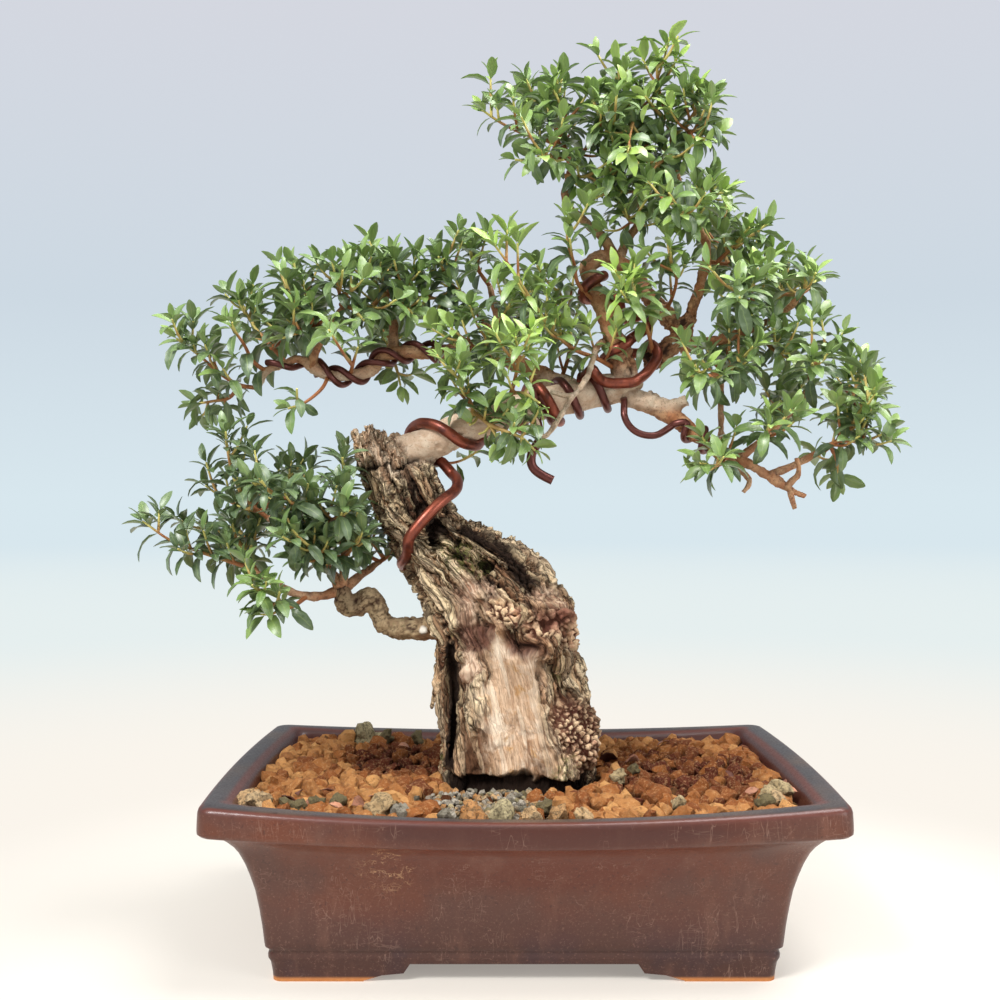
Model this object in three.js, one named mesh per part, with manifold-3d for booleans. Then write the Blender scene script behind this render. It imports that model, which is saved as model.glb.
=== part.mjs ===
// Common myrtle bonsai in a glazed tray: one old leaning trunk with its branches, leafy sprays,
// training wires, soil and pot. Millimetres, +Z up, front towards -Y, origin at the middle of
// the pot's footprint on the surface that it stands on.

import * as THREE from 'three';
import { mergeVertices } from 'three/addons/utils/BufferGeometryUtils.js';
import Module from 'manifold-3d';

const wasm = await Module();
wasm.setup();

// Driving sizes

const GAP = 0.35;

const RIM_HALF_LENGTH = 121.5;
const RIM_HALF_WIDTH = 86;
const POT_HEIGHT = 73;
const RIM_LONG_BOW = 8;
const RIM_SHORT_BOW = 3;
const RIM_SAG = 4.2;
const RIM_CORNER = 5;
const BASE_CORNER = 4;
const CORNER_STEPS = 2;
const FOOT_HEIGHT = 7;
const FLOOR_TOP = 13;
const DRAIN_RADIUS = 7;
const DRAIN_OFFSET = 48;
const SCREEN_SIZE = 26;
const SCREEN_THICKNESS = 1.2;

const SOIL_TOP = 69.4;
const SOIL_REAR_RISE = 2.6;
const SOIL_EDGE_DIP = 1.4;
const GRAIN_STEP = 12.4;
const GRAIN_RELIEF = 3.2;

const LEAF_THICKNESS = 1.1;
const LEAF_ARCH = 0.16;
const LEAF_WIDEST = 0.45;
const LEAF_CLEARANCE = 0.3;
const LEAF_ROOT_HEIGHT = 1.3;
const RING_SPACING = 4.5;
const STEM_BASE_RADIUS = 1.3;
const STEM_TIP_RADIUS = 0.95;

const HEAVY_WIRE_RADIUS = 2.4;
const CROWN_WIRE_RADIUS = 1.8;
const LOOP_WIRE_RADIUS = 1.5;
const CUT_WIRE_RADIUS = 2;
const BRANCH_WIRE_RADIUS = 1.6;
const WRAP_CLEARANCE = 1.2;
const WRAP_POINTS_PER_TURN = 8;

// Colours and finishes

function finish(colour, roughness, metalness) {
  return new THREE.MeshStandardMaterial({ color: colour, roughness, metalness });
}

const FINISHES = {
  glaze: finish(0x56352f, 0.35, 0),
  soil: finish(0xb5733f, 0.95, 0),
  screen: finish(0x1d1f1f, 0.6, 0),
  bark: finish(0xa68767, 0.85, 0),
  wire: finish(0x6b2f26, 0.35, 0.7),
  oldLeaf: finish(0x35582f, 0.4, 0),
  youngLeaf: finish(0x7fae3a, 0.45, 0),
};

// Repeatable random draw

function makeDraw(seed) {
  let state = seed >>> 0;
  return () => {
    state = (Math.imul(state, 1664525) + 1013904223) >>> 0;
    return state / 4294967296;
  };
}

// Solids and meshes

function toSolid(geometry) {
  const bare = geometry.clone();
  bare.deleteAttribute('normal');
  bare.deleteAttribute('uv');
  const merged = mergeVertices(bare, 1e-4);
  return new wasm.Manifold(new wasm.Mesh({
    numProp: 3,
    vertProperties: new Float32Array(merged.attributes.position.array),
    triVerts: new Uint32Array(merged.index.array),
  }));
}

function toGeometry(solid) {
  const shape = solid.getMesh();
  const geometry = new THREE.BufferGeometry();
  geometry.setAttribute('position', new THREE.BufferAttribute(shape.vertProperties, 3));
  geometry.setIndex(new THREE.BufferAttribute(shape.triVerts, 1));
  geometry.computeVertexNormals();
  return geometry;
}

function joinAll(solids) {
  return solids.reduce((joined, solid) => joined.add(solid));
}

function largestBody(solid) {
  const bodies = solid.decompose();
  return bodies.reduce((best, body) => (body.volume() > best.volume() ? body : best));
}

function solidOf(corners, faces) {
  const geometry = new THREE.BufferGeometry();
  const values = corners.flatMap((corner) => corner.toArray());
  geometry.setAttribute('position', new THREE.Float32BufferAttribute(values, 3));
  geometry.setIndex(faces);
  return toSolid(geometry);
}

// A closed skin over rings that all have the same number of points, fanned shut at both ends.
function ringSolid(rings) {
  const count = rings[0].length;
  const faces = [];
  for (let ring = 0; ring < rings.length - 1; ring += 1) {
    for (let side = 0; side < count; side += 1) {
      const a = ring * count + side;
      const b = ring * count + ((side + 1) % count);
      faces.push(a, b, b + count);
      faces.push(a, b + count, a + count);
    }
  }
  const last = (rings.length - 1) * count;
  for (let side = 1; side < count - 1; side += 1) {
    faces.push(0, side + 1, side);
    faces.push(last, last + side, last + side + 1);
  }
  return solidOf(rings.flat(), faces);
}

// Tubes along a route

function routePoints(route) {
  return route.map(([x, y, z]) => new THREE.Vector3(x, y, z));
}

function routeTangents(points) {
  const last = points.length - 1;
  return points.map((point, index) => {
    const before = points[Math.max(index - 1, 0)];
    const after = points[Math.min(index + 1, last)];
    return after.clone().sub(before).normalize();
  });
}

// Side vectors carried along a route without twist.
function routeSides(tangents) {
  const start = Math.abs(tangents[0].z) < 0.9 ? new THREE.Vector3(0, 0, 1) : new THREE.Vector3(0, -1, 0);
  let side = start.sub(tangents[0].clone().multiplyScalar(start.dot(tangents[0]))).normalize();
  return tangents.map((tangent) => {
    side = side.clone().sub(tangent.clone().multiplyScalar(side.dot(tangent))).normalize();
    return side;
  });
}

function tubeSolid(points, radii, sides) {
  const tangents = routeTangents(points);
  const sideVectors = routeSides(tangents);
  const rings = points.map((point, index) => {
    const across = sideVectors[index];
    const other = new THREE.Vector3().crossVectors(tangents[index], across);
    return Array.from({ length: sides }, (unused, step) => {
      const angle = (2 * Math.PI * step) / sides;
      return point.clone()
        .addScaledVector(across, radii[index] * Math.cos(angle))
        .addScaledVector(other, radii[index] * Math.sin(angle));
    });
  });
  return ringSolid(rings);
}

function smoothRoute(points, step) {
  const curve = new THREE.CatmullRomCurve3(points, false, 'centripetal');
  return curve.getSpacedPoints(Math.max(2, Math.round(curve.getLength() / step)));
}

// Pot: a soft rectangle drawn at each level, with long sides that bow out and sag at the rim

function potOutline(inset, height) {
  const rise = height / POT_HEIGHT;
  const halfLength = RIM_HALF_LENGTH - inset;
  const halfWidth = RIM_HALF_WIDTH - inset;
  const corner = BASE_CORNER + (RIM_CORNER - BASE_CORNER) * rise;
  const longBow = RIM_LONG_BOW * rise ** 2;
  const shortBow = RIM_SHORT_BOW * rise ** 2;
  const sag = RIM_SAG * rise ** 2;
  const points = [];
  const place = (x, y) => {
    const bulgeY = longBow * (1 - (x / halfLength) ** 2) * Math.abs(y / halfWidth);
    const bulgeX = shortBow * (1 - (y / halfWidth) ** 2) * Math.abs(x / halfLength);
    const dip = sag * (1 - (x / halfLength) ** 2);
    points.push(new THREE.Vector3(x + Math.sign(x) * bulgeX, y + Math.sign(y) * bulgeY, height - dip));
  };
  const cornerAt = (signX, signY, startAngle) => {
    for (let step = 0; step <= CORNER_STEPS; step += 1) {
      const angle = startAngle + (Math.PI / 2) * (step / CORNER_STEPS);
      place(
        signX * (halfLength - corner) + corner * Math.cos(angle),
        signY * (halfWidth - corner) + corner * Math.sin(angle),
      );
    }
  };
  const longSide = (direction, y) => {
    [-0.6, -0.2, 0.2, 0.6].forEach((share) => place(direction * share * halfLength, y));
  };
  const shortSide = (direction, x) => {
    [-0.35, 0.35].forEach((share) => place(x, direction * share * halfWidth));
  };
  cornerAt(-1, -1, Math.PI);
  longSide(1, -halfWidth);
  cornerAt(1, -1, -Math.PI / 2);
  shortSide(1, halfLength);
  cornerAt(1, 1, 0);
  longSide(-1, halfWidth);
  cornerAt(-1, 1, Math.PI / 2);
  shortSide(-1, -halfLength);
  return points;
}

// Inset from the rim's outer edge against height, from the feet up.
const POT_OUTSIDE = [
  [24.1, 0],
  [23.3, 7],
  [22.4, 9],
  [22.6, 12],
  [21.1, 14],
  [19.4, 29],
  [16.6, 42],
  [12.9, 52],
  [9.3, 57],
  [5, 60.4],
  [0.6, 61.4],
  [0, 63.5],
  [0.2, 70],
  [1.4, 72.4],
  [3.4, 73],
];

const POT_INSIDE = [
  [29, FLOOR_TOP],
  [20, 50],
  [14, 66],
  [12, 71],
  [9.6, 72.6],
  [7, 73.4],
];

function blockSolid(width, depth, height, x, y, z) {
  const block = new THREE.BoxGeometry(width, depth, height);
  block.translate(x, y, z);
  return toSolid(block);
}

function columnSolid(radius, height, sides, x, y, z) {
  const column = new THREE.CylinderGeometry(radius, radius, height, sides);
  column.rotateX(Math.PI / 2);
  column.translate(x, y, z);
  return toSolid(column);
}

// The gap between two feet: each foot ends in a low step, so its glazed bracket reaches further in
// than its bare sole. Top is half the gap under the floor, step is the sole's set-back.
function footGap(top, step, length, alongX) {
  const outline = new THREE.Shape();
  outline.moveTo(-top - step, -1);
  outline.lineTo(top + step, -1);
  outline.lineTo(top + step, 0.3);
  outline.lineTo(top + 0.6 * step, 2.4);
  outline.lineTo(top + 2.5, 3.2);
  outline.lineTo(top, FOOT_HEIGHT);
  outline.lineTo(-top, FOOT_HEIGHT);
  outline.lineTo(-top - 2.5, 3.2);
  outline.lineTo(-top - 0.6 * step, 2.4);
  outline.lineTo(-top - step, 0.3);
  const gap = new THREE.ExtrudeGeometry(outline, { depth: length, bevelEnabled: false });
  gap.translate(0, 0, -length / 2);
  gap.rotateX(Math.PI / 2);
  if (alongX) {
    gap.rotateZ(Math.PI / 2);
  }
  return toSolid(gap);
}

function potCavity(clearance) {
  return ringSolid(POT_INSIDE.map(([inset, height]) => potOutline(inset + clearance, height)));
}

function makePot() {
  const outside = ringSolid(POT_OUTSIDE.map(([inset, height]) => potOutline(inset, height)));
  const cuts = [
    potCavity(0),
    footGap(44, 18, 200, false),
    footGap(24, 10, 260, true),
    blockSolid(148, 84, 2 * FOOT_HEIGHT, 0, 0, 0),
    columnSolid(DRAIN_RADIUS, 20, 12, -DRAIN_OFFSET, 0, 10),
    columnSolid(DRAIN_RADIUS, 20, 12, DRAIN_OFFSET, 0, 10),
  ];
  return cuts.reduce((pot, cut) => pot.subtract(cut), outside);
}

function makeScreen(x) {
  const height = FLOOR_TOP + GAP + SCREEN_THICKNESS / 2;
  return blockSolid(SCREEN_SIZE, SCREEN_SIZE, SCREEN_THICKNESS, x, 0, height);
}

// Trunk: left edge, right edge, front and back at each height

const TRUNK_LEVELS = [
  [60, -36.5, 29.5, -33, 27],
  [76, -34, 32, -32, 27],
  [106, -35.5, 28, -27, 24],
  [124, -35.5, 22.5, -27, 22],
  [133, -40, 23, -26, 21],
  [142, -43, 21.5, -24, 20],
  [149, -46, 15, -23, 19],
  [155, -48.5, 10, -21, 18],
  [161, -52.5, 6, -20, 17],
  [167, -56, -4.5, -18, 16],
  [172, -58.5, -15, -17, 15],
  [177, -60.5, -28, -16, 14],
  [184, -64, -31, -15, 13],
  [198, -70, -38, -13, 12],
  [204, -72, -42, -11, 11],
  [213, -69.5, -54, -5, 7],
  [218, -66.5, -62, -2, 3],
];
const TRUNK_SIDES = 18;
const FURROW_DEPTH = 0.09;

function trunkRing([height, left, right, front, back], extra) {
  const middle = (left + right) / 2;
  const reach = (right - left) / 2;
  return Array.from({ length: TRUNK_SIDES }, (unused, step) => {
    const angle = (2 * Math.PI * step) / TRUNK_SIDES;
    const cosine = Math.cos(angle);
    const sine = Math.sin(angle);
    const square = (Math.abs(cosine) ** 2.4 + Math.abs(sine) ** 2.4) ** (-1 / 2.4);
    const furrow = Math.cos(9 * angle + 0.05 * height) + 0.6 * Math.cos(5 * angle - 0.09 * height);
    const reachHere = square * (1 + FURROW_DEPTH * furrow * Math.abs(sine));
    const depth = sine < 0 ? -front : back;
    return new THREE.Vector3(
      middle + (reach * reachHere + extra) * cosine,
      (depth * reachHere + extra) * sine,
      height,
    );
  });
}

// Burl knobs: middle x, y, z and radius
const BURL_KNOBS = [
  [-8, -24, 136, 8],
  [5, -26, 139, 8],
  [14, -21, 137, 8],
  [15, -14, 129, 9],
  [9, -26, 127, 9],
  [15, -18, 120, 8],
  [19, -16, 98, 9],
  [25, -9, 90, 9],
  [17, -22, 88, 9],
  [25, -15, 80, 9],
  [17, -25, 77, 8],
  [26, 12, 84, 10],
  [-28, 14, 92, 9],
  [8, 20, 118, 9],
];

function knobSolid([x, y, z, radius], extra) {
  const knob = new THREE.IcosahedronGeometry(radius + extra, 0);
  knob.rotateX(x);
  knob.rotateY(z);
  knob.translate(x, y, z);
  return toSolid(knob);
}

// Broken spikes of the dead top: foot x, y, z, tip x, y, z and foot radius
const DEAD_SPIKES = [
  [-68, -4, 204, -71.5, -6, 213.5, 5],
  [-63, -1, 208, -65, -3, 221, 5],
  [-57, -4, 206, -58.5, -7, 218, 4.5],
  [-51, -5, 203, -50.5, -9, 213, 4.5],
];

function spikeSolid([footX, footY, footZ, tipX, tipY, tipZ, radius], extra) {
  const points = routePoints([[footX, footY, footZ], [tipX, tipY, tipZ]]);
  return tubeSolid(points, [radius + extra, 1 + extra], 4);
}

// Limbs: x, y, z and radius along each, from the thick end

const LIMBS = {
  first_branch: [
    [-60, 4, 200, 10], [-52, 2, 205, 8.8], [-40, -2, 210, 7.6], [-22, -5, 218, 7.2], [-1, -4, 225, 7],
    [17, -2, 229, 7], [34, 0, 233, 7.2], [52, 2, 239, 6.5], [58, 4, 249, 5.6],
  ],
  twisted_arch: [
    [45, 0, 236, 6.5], [44, 0, 247, 6.2], [40, -1, 257, 5.8], [37, -2, 267, 5.4], [32, -3, 276, 5.1],
    [29, -1, 286, 4.8], [34, 1, 291, 4.6], [41, 2, 290, 4.6], [48, 3, 285, 4.6], [53, 4, 279, 4.8],
    [58, 5, 273, 4.8], [65, 6, 266, 5], [72, 6, 258, 5],
  ],
  bridge: [[55, 3, 245, 5.5], [64, 5, 252, 5.2], [73, 6, 260, 4.6]],
  cut_stub: [[44, 0, 232, 5.5], [54, -1, 228, 5.2], [64, -2, 226, 5], [72, -3, 229, 4.6]],
  lower_right: [
    [54, 1, 229, 4.8], [64, -2, 223, 4.6], [76, -6, 213, 4], [85, -8, 207, 3.8], [93, -10, 203, 3.5],
    [105, -12, 196, 3], [114, -14, 190, 2.6], [120, -15, 187, 2],
  ],
  upper_right: [
    [70, 6, 254, 4.4], [84, 8, 255, 3.6], [98, 8, 260, 3.2], [108, 6, 264, 2.8], [115, 4, 268, 2.4],
    [120, 2, 273, 1.8],
  ],
  right_leader: [
    [71, 6, 257, 4.8], [75, 6, 269, 4], [79, 7, 281, 3.5], [82, 8, 297, 3], [78, 8, 306, 2.6],
    [71, 7, 318, 2.2], [68, 5, 330, 2], [66, 3, 343, 1.8], [60, 0, 363, 1.3],
  ],
  left_leader: [
    [41, 2, 289, 3.6], [38, 1, 296, 3.2], [33, 0, 302, 3.1], [22, -2, 311, 2.8], [19, -2, 316, 2.4],
    [20, -1, 324, 2], [22, 0, 332, 1.7], [19, 0, 338, 1.4],
  ],
  middle_leader: [
    [42, 3, 289, 3], [46, 6, 299, 2.5], [51, 9, 307, 2.3], [55, 14, 328, 1.9], [56, 12, 341, 1.6],
    [53, 8, 353, 1.3],
  ],
  left_branch: [
    [30, 4, 232, 5.4], [17, 10, 237, 4.9], [4, 16, 244, 4.7], [-12, 20, 251, 4.5], [-25, 18, 253, 4.4],
    [-43, 12, 251, 4.2], [-51, 10, 251, 4], [-60, 8, 249, 3.8], [-66, 6, 243, 3.6], [-75, 4, 240, 3.4],
    [-84, 2, 240, 3.2], [-92, 1, 244, 3], [-97, 0, 247, 2.8], [-104, -2, 244, 2.5], [-111, -3, 241, 2.2],
    [-114, -4, 234, 1.9],
  ],
  left_twig_a: [[-91, 1, 243, 2.2], [-90, 0, 250, 2], [-86, -2, 256, 1.8], [-77, -4, 269, 1.2]],
  left_twig_b: [[-56.5, 9, 249, 2.4], [-56.5, 12, 260, 2.1], [-56, 16, 275, 1.3]],
  left_twig_c: [[-12.5, 20, 251, 2.1], [-16, 22, 266, 1.9], [-27, 22, 279, 1.3]],
  left_twig_d: [[-8, 21, 250, 2], [-10, 26, 265, 1.8], [-14, 32, 284, 1.2]],
  front_twig: [[-15, -5, 221, 2.2], [-12, -18, 224, 1.8], [-5, -27, 229, 1.3]],
  right_fan: [
    [93, -10, 204, 2.4], [103, -8, 211, 2.2], [112, -6, 220, 1.9], [120, -4, 228, 1.6], [125, -4, 235, 1.2],
  ],
  right_far: [[105, -12, 196, 2.3], [117, -10, 201, 2], [127, -8, 206, 1.7], [136, -6, 211, 1.3]],
  right_inner: [[86, -8, 206, 2], [86, -4, 219, 1.8], [87, 0, 239, 1.3]],
  bare_twig_a: [[88, -9, 206, 1.6], [91, -12, 200, 1.3], [96, -16, 194, 1.2], [93, -18, 189, 0.9]],
  bare_twig_b: [[114, -14, 190, 1.4], [114, -16, 186, 1.1], [115, -17, 182, 0.9]],
  bare_twig_c: [[112, -14, 191, 1.5], [116, -18, 197, 1.3], [115, -20, 203, 0.9]],
  low_left: [
    [-32, -4, 130, 5.6], [-47, -8, 131, 5], [-55, -8, 131, 4.8], [-60, -8, 134, 4.6], [-62, -8, 141, 4.6],
    [-66, -8, 144, 4.7], [-71, -9, 140, 4.7], [-75, -9, 141, 4.5], [-78, -9, 149, 4],
  ],
  fan_left: [
    [-78, -9, 147, 3], [-84, -10, 145, 2.6], [-93, -13, 145, 2.3], [-110, -17, 154, 1.6],
    [-117, -18, 158, 1.2],
  ],
  fan_up: [[-78, -9, 148, 2.8], [-82, -8, 155, 2.3], [-99, -10, 172, 1.7], [-108, -12, 178, 1.2]],
  fan_vertical: [[-77, -9, 148, 2.6], [-76, -8, 160, 2.2], [-77, -8, 181, 1.6], [-76, -9, 186, 1.3]],
  fan_right: [[-78, -9, 146, 2.4], [-71, -2, 152, 2], [-63, 8, 158, 1.2]],
  fan_back: [[-78, -8, 148, 2.6], [-84, 12, 154, 2.1], [-92, 28, 159, 1.4]],
};

function limbSides(radius) {
  if (radius > 5.5) {
    return 6;
  }
  return radius > 3 ? 5 : 4;
}

function limbSolid(route, extra) {
  const radii = route.map((point) => point[3] + extra);
  return tubeSolid(routePoints(route), radii, limbSides(route[0][3]));
}

// The whole tree wood; extra grows it all round, to cut clearance for what touches it.
function makeWood(extra) {
  const trunk = ringSolid(TRUNK_LEVELS.map((level) => trunkRing(level, extra)));
  const knobs = BURL_KNOBS.map((knob) => knobSolid(knob, extra));
  const limbs = Object.values(LIMBS).map((route) => limbSolid(route, extra));
  const spikes = DEAD_SPIKES.map((spike) => spikeSolid(spike, extra));
  const grown = joinAll([trunk, ...spikes, ...knobs, ...limbs]);
  if (extra > 0) {
    return grown;
  }
  const slot = blockSolid(3.4, 18, 44, -29.5, -26, 100);
  const hollow = new THREE.IcosahedronGeometry(5, 1);
  hollow.scale(0.7, 1.2, 1.8);
  hollow.translate(-36, -18, 170);
  return largestBody(grown.subtract(slot).subtract(toSolid(hollow)));
}

// Soil: a bed of grains raised by a formula

function soilHeight(x, y) {
  const rear = SOIL_REAR_RISE * Math.max(0, y / 70) * (0.35 - x / 160);
  const dip = SOIL_EDGE_DIP * (1 - (x / RIM_HALF_LENGTH) ** 2) * (y / 75) ** 2;
  return SOIL_TOP + rear - dip;
}

function soilSurface() {
  const draw = makeDraw(41);
  const rowStep = GRAIN_STEP * Math.sin(Math.PI / 3);
  const columns = Math.ceil((2 * (RIM_HALF_LENGTH - 6)) / GRAIN_STEP) + 2;
  const rows = Math.ceil((2 * (RIM_HALF_WIDTH - 2)) / rowStep) + 1;
  const floor = FLOOR_TOP - 5;
  const corners = [];
  const faces = [];
  for (let row = 0; row <= rows; row += 1) {
    for (let column = 0; column <= columns; column += 1) {
      const x = (column - columns / 2 + (row % 2) / 2) * GRAIN_STEP + (draw() - 0.5) * 2.2;
      const y = (row - rows / 2) * rowStep + (draw() - 0.5) * 2.2;
      const peak = (column + (row % 2) + 2 * Math.floor((row + 1) / 2) + 2 * (row % 2)) % 3 === 0;
      const relief = (peak ? 0.5 : -0.5) * GRAIN_RELIEF + (draw() - 0.5) * 1.1;
      corners.push(new THREE.Vector3(x, y, soilHeight(x, y) + relief));
    }
  }
  const width = columns + 1;
  for (let row = 0; row < rows; row += 1) {
    for (let column = 0; column < columns; column += 1) {
      const a = row * width + column;
      if (row % 2 === 0) {
        faces.push(a, a + 1, a + width, a + 1, a + width + 1, a + width);
      } else {
        faces.push(a, a + 1, a + width + 1, a, a + width + 1, a + width);
      }
    }
  }
  const edge = [];
  for (let column = 0; column < columns; column += 1) {
    edge.push(column);
  }
  for (let row = 0; row < rows; row += 1) {
    edge.push(row * width + columns);
  }
  for (let column = columns; column > 0; column -= 1) {
    edge.push(rows * width + column);
  }
  for (let row = rows; row > 0; row -= 1) {
    edge.push(row * width);
  }
  const lower = corners.length;
  edge.forEach((index) => corners.push(corners[index].clone().setZ(floor)));
  const middle = corners.length;
  corners.push(new THREE.Vector3(0, 0, floor));
  edge.forEach((index, step) => {
    const next = (step + 1) % edge.length;
    faces.push(index, lower + step, lower + next, index, lower + next, edge[next]);
    faces.push(middle, lower + next, lower + step);
  });
  return solidOf(corners, faces);
}

function makeSoil(woodGrown) {
  const screenRoom = [-DRAIN_OFFSET, DRAIN_OFFSET].map((x) => {
    const room = SCREEN_SIZE + 2 * GAP;
    return blockSolid(room, room, 2 * (SCREEN_THICKNESS + 2 * GAP), x, 0, FLOOR_TOP);
  });
  const lift = blockSolid(400, 400, 2 * GAP, 0, 0, FLOOR_TOP);
  const shaped = soilSurface().intersect(potCavity(GAP)).subtract(lift);
  const holed = screenRoom.reduce((soil, room) => soil.subtract(room), shaped);
  return largestBody(holed.subtract(woodGrown));
}

// Training wires

// The point, tangent and radius at a share of a limb's length.
function limbAt(limb, share) {
  const points = routePoints(limb);
  const spans = points.slice(1).map((point, index) => point.distanceTo(points[index]));
  let left = share * spans.reduce((sum, span) => sum + span, 0);
  let index = 0;
  while (index < spans.length - 1 && left > spans[index]) {
    left -= spans[index];
    index += 1;
  }
  const part = left / spans[index];
  return {
    spot: points[index].clone().lerp(points[index + 1], part),
    tangent: points[index + 1].clone().sub(points[index]).normalize(),
    radius: limb[index][3] + (limb[index + 1][3] - limb[index][3]) * part,
  };
}

// Turns of wire round a limb, between two shares of its length.
function wrapRoute(limb, from, to, turns, startAngle, wireRadius) {
  const steps = Math.round(WRAP_POINTS_PER_TURN * turns);
  const places = Array.from({ length: steps + 1 }, (unused, step) => (
    limbAt(limb, from + (to - from) * (step / steps))
  ));
  const softTangents = routeTangents(places.map((place) => place.spot));
  const sides = routeSides(softTangents);
  return places.map((place, step) => {
    const angle = startAngle + 2 * Math.PI * turns * (step / steps);
    const reach = place.radius + wireRadius + WRAP_CLEARANCE;
    const other = new THREE.Vector3().crossVectors(softTangents[step], sides[step]);
    return place.spot
      .addScaledVector(sides[step], reach * Math.cos(angle))
      .addScaledVector(other, reach * Math.sin(angle));
  });
}

const HEAVY_WIRE_ROUTE = [
  [-46, 22, 150], [-54, 14, 153], [-56, 0, 157], [-54, -14, 161], [-50, -22, 166], [-45, -23, 173],
  [-39, -22, 180], [-33, -18, 186], [-28, -12, 190], [-28, -4, 195], [-34, 6, 199], [-43, 14, 204],
];

const CROWN_WIRE_ROUTE = [
  [33, -12, 229], [34, -12, 234], [37, -11, 239], [42, -10, 241], [48, -11, 237], [54, -10, 235],
  [61, -6, 236], [66, 3, 241], [63, 13, 245], [54, 14, 249], [46, 11, 252], [36, 9, 252], [32, 0, 250],
  [36, -10, 251], [45, -10, 256], [53, -5, 261], [54, 6, 264], [46, 10, 266],
];

const LOOP_WIRE_ROUTE = [
  [43, -10, 228], [44, -11, 220], [48, -11, 215], [54, -11, 213], [60, -10, 214], [65, -10, 218],
];

const CUT_WIRE_ROUTE = [
  [5, -4, 235.9], [5, -8, 234.8], [5, -12, 230.5], [6, -13, 225], [7, -13.5, 219],
  [6, -14, 212], [4, -14, 205], [4, -14, 200], [8, -14, 196.5], [13, -14, 194],
];

function wireSolid(points, radius, sides) {
  return tubeSolid(points, points.map(() => radius), sides);
}

// The wires; extra grows them all round, to cut clearance for what touches them.
function makeWires(extra) {
  const heavy = [
    ...routePoints(HEAVY_WIRE_ROUTE),
    ...wrapRoute(LIMBS.first_branch, 0.17, 0.68, 2.67, 5.24, HEAVY_WIRE_RADIUS),
  ];
  const crown = [
    ...routePoints(CROWN_WIRE_ROUTE),
    ...wrapRoute(LIMBS.twisted_arch, 0.3, 0.43, 1.4, 1.9, CROWN_WIRE_RADIUS),
  ];
  const loop = [
    ...routePoints(LOOP_WIRE_ROUTE),
    ...wrapRoute(LIMBS.lower_right, 0.27, 0.45, 1.7, 1.0, LOOP_WIRE_RADIUS),
  ];
  const leftA = wrapRoute(LIMBS.left_branch, 0.28, 0.804, 3.8, 3.7, BRANCH_WIRE_RADIUS);
  const leftB = wrapRoute(LIMBS.left_branch, 0.332, 0.939, 4.4, 3.7, BRANCH_WIRE_RADIUS);
  return {
    heavy_wire: wireSolid(smoothRoute(heavy, 8), HEAVY_WIRE_RADIUS + extra, 5),
    crown_wire: wireSolid(smoothRoute(crown, 7), CROWN_WIRE_RADIUS + extra, 4),
    loop_wire: wireSolid(smoothRoute(loop, 6), LOOP_WIRE_RADIUS + extra, 4),
    cut_wire: wireSolid(smoothRoute(routePoints(CUT_WIRE_ROUTE), 4.5), CUT_WIRE_RADIUS + extra, 5),
    left_wire_a: wireSolid(smoothRoute(leftA, 5.5), BRANCH_WIRE_RADIUS + extra, 4),
    left_wire_b: wireSolid(smoothRoute(leftB, 5.5), BRANCH_WIRE_RADIUS + extra, 4),
  };
}

// Leafy sprays: each a main shoot from the wood, with the side shoots that grow on it

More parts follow.
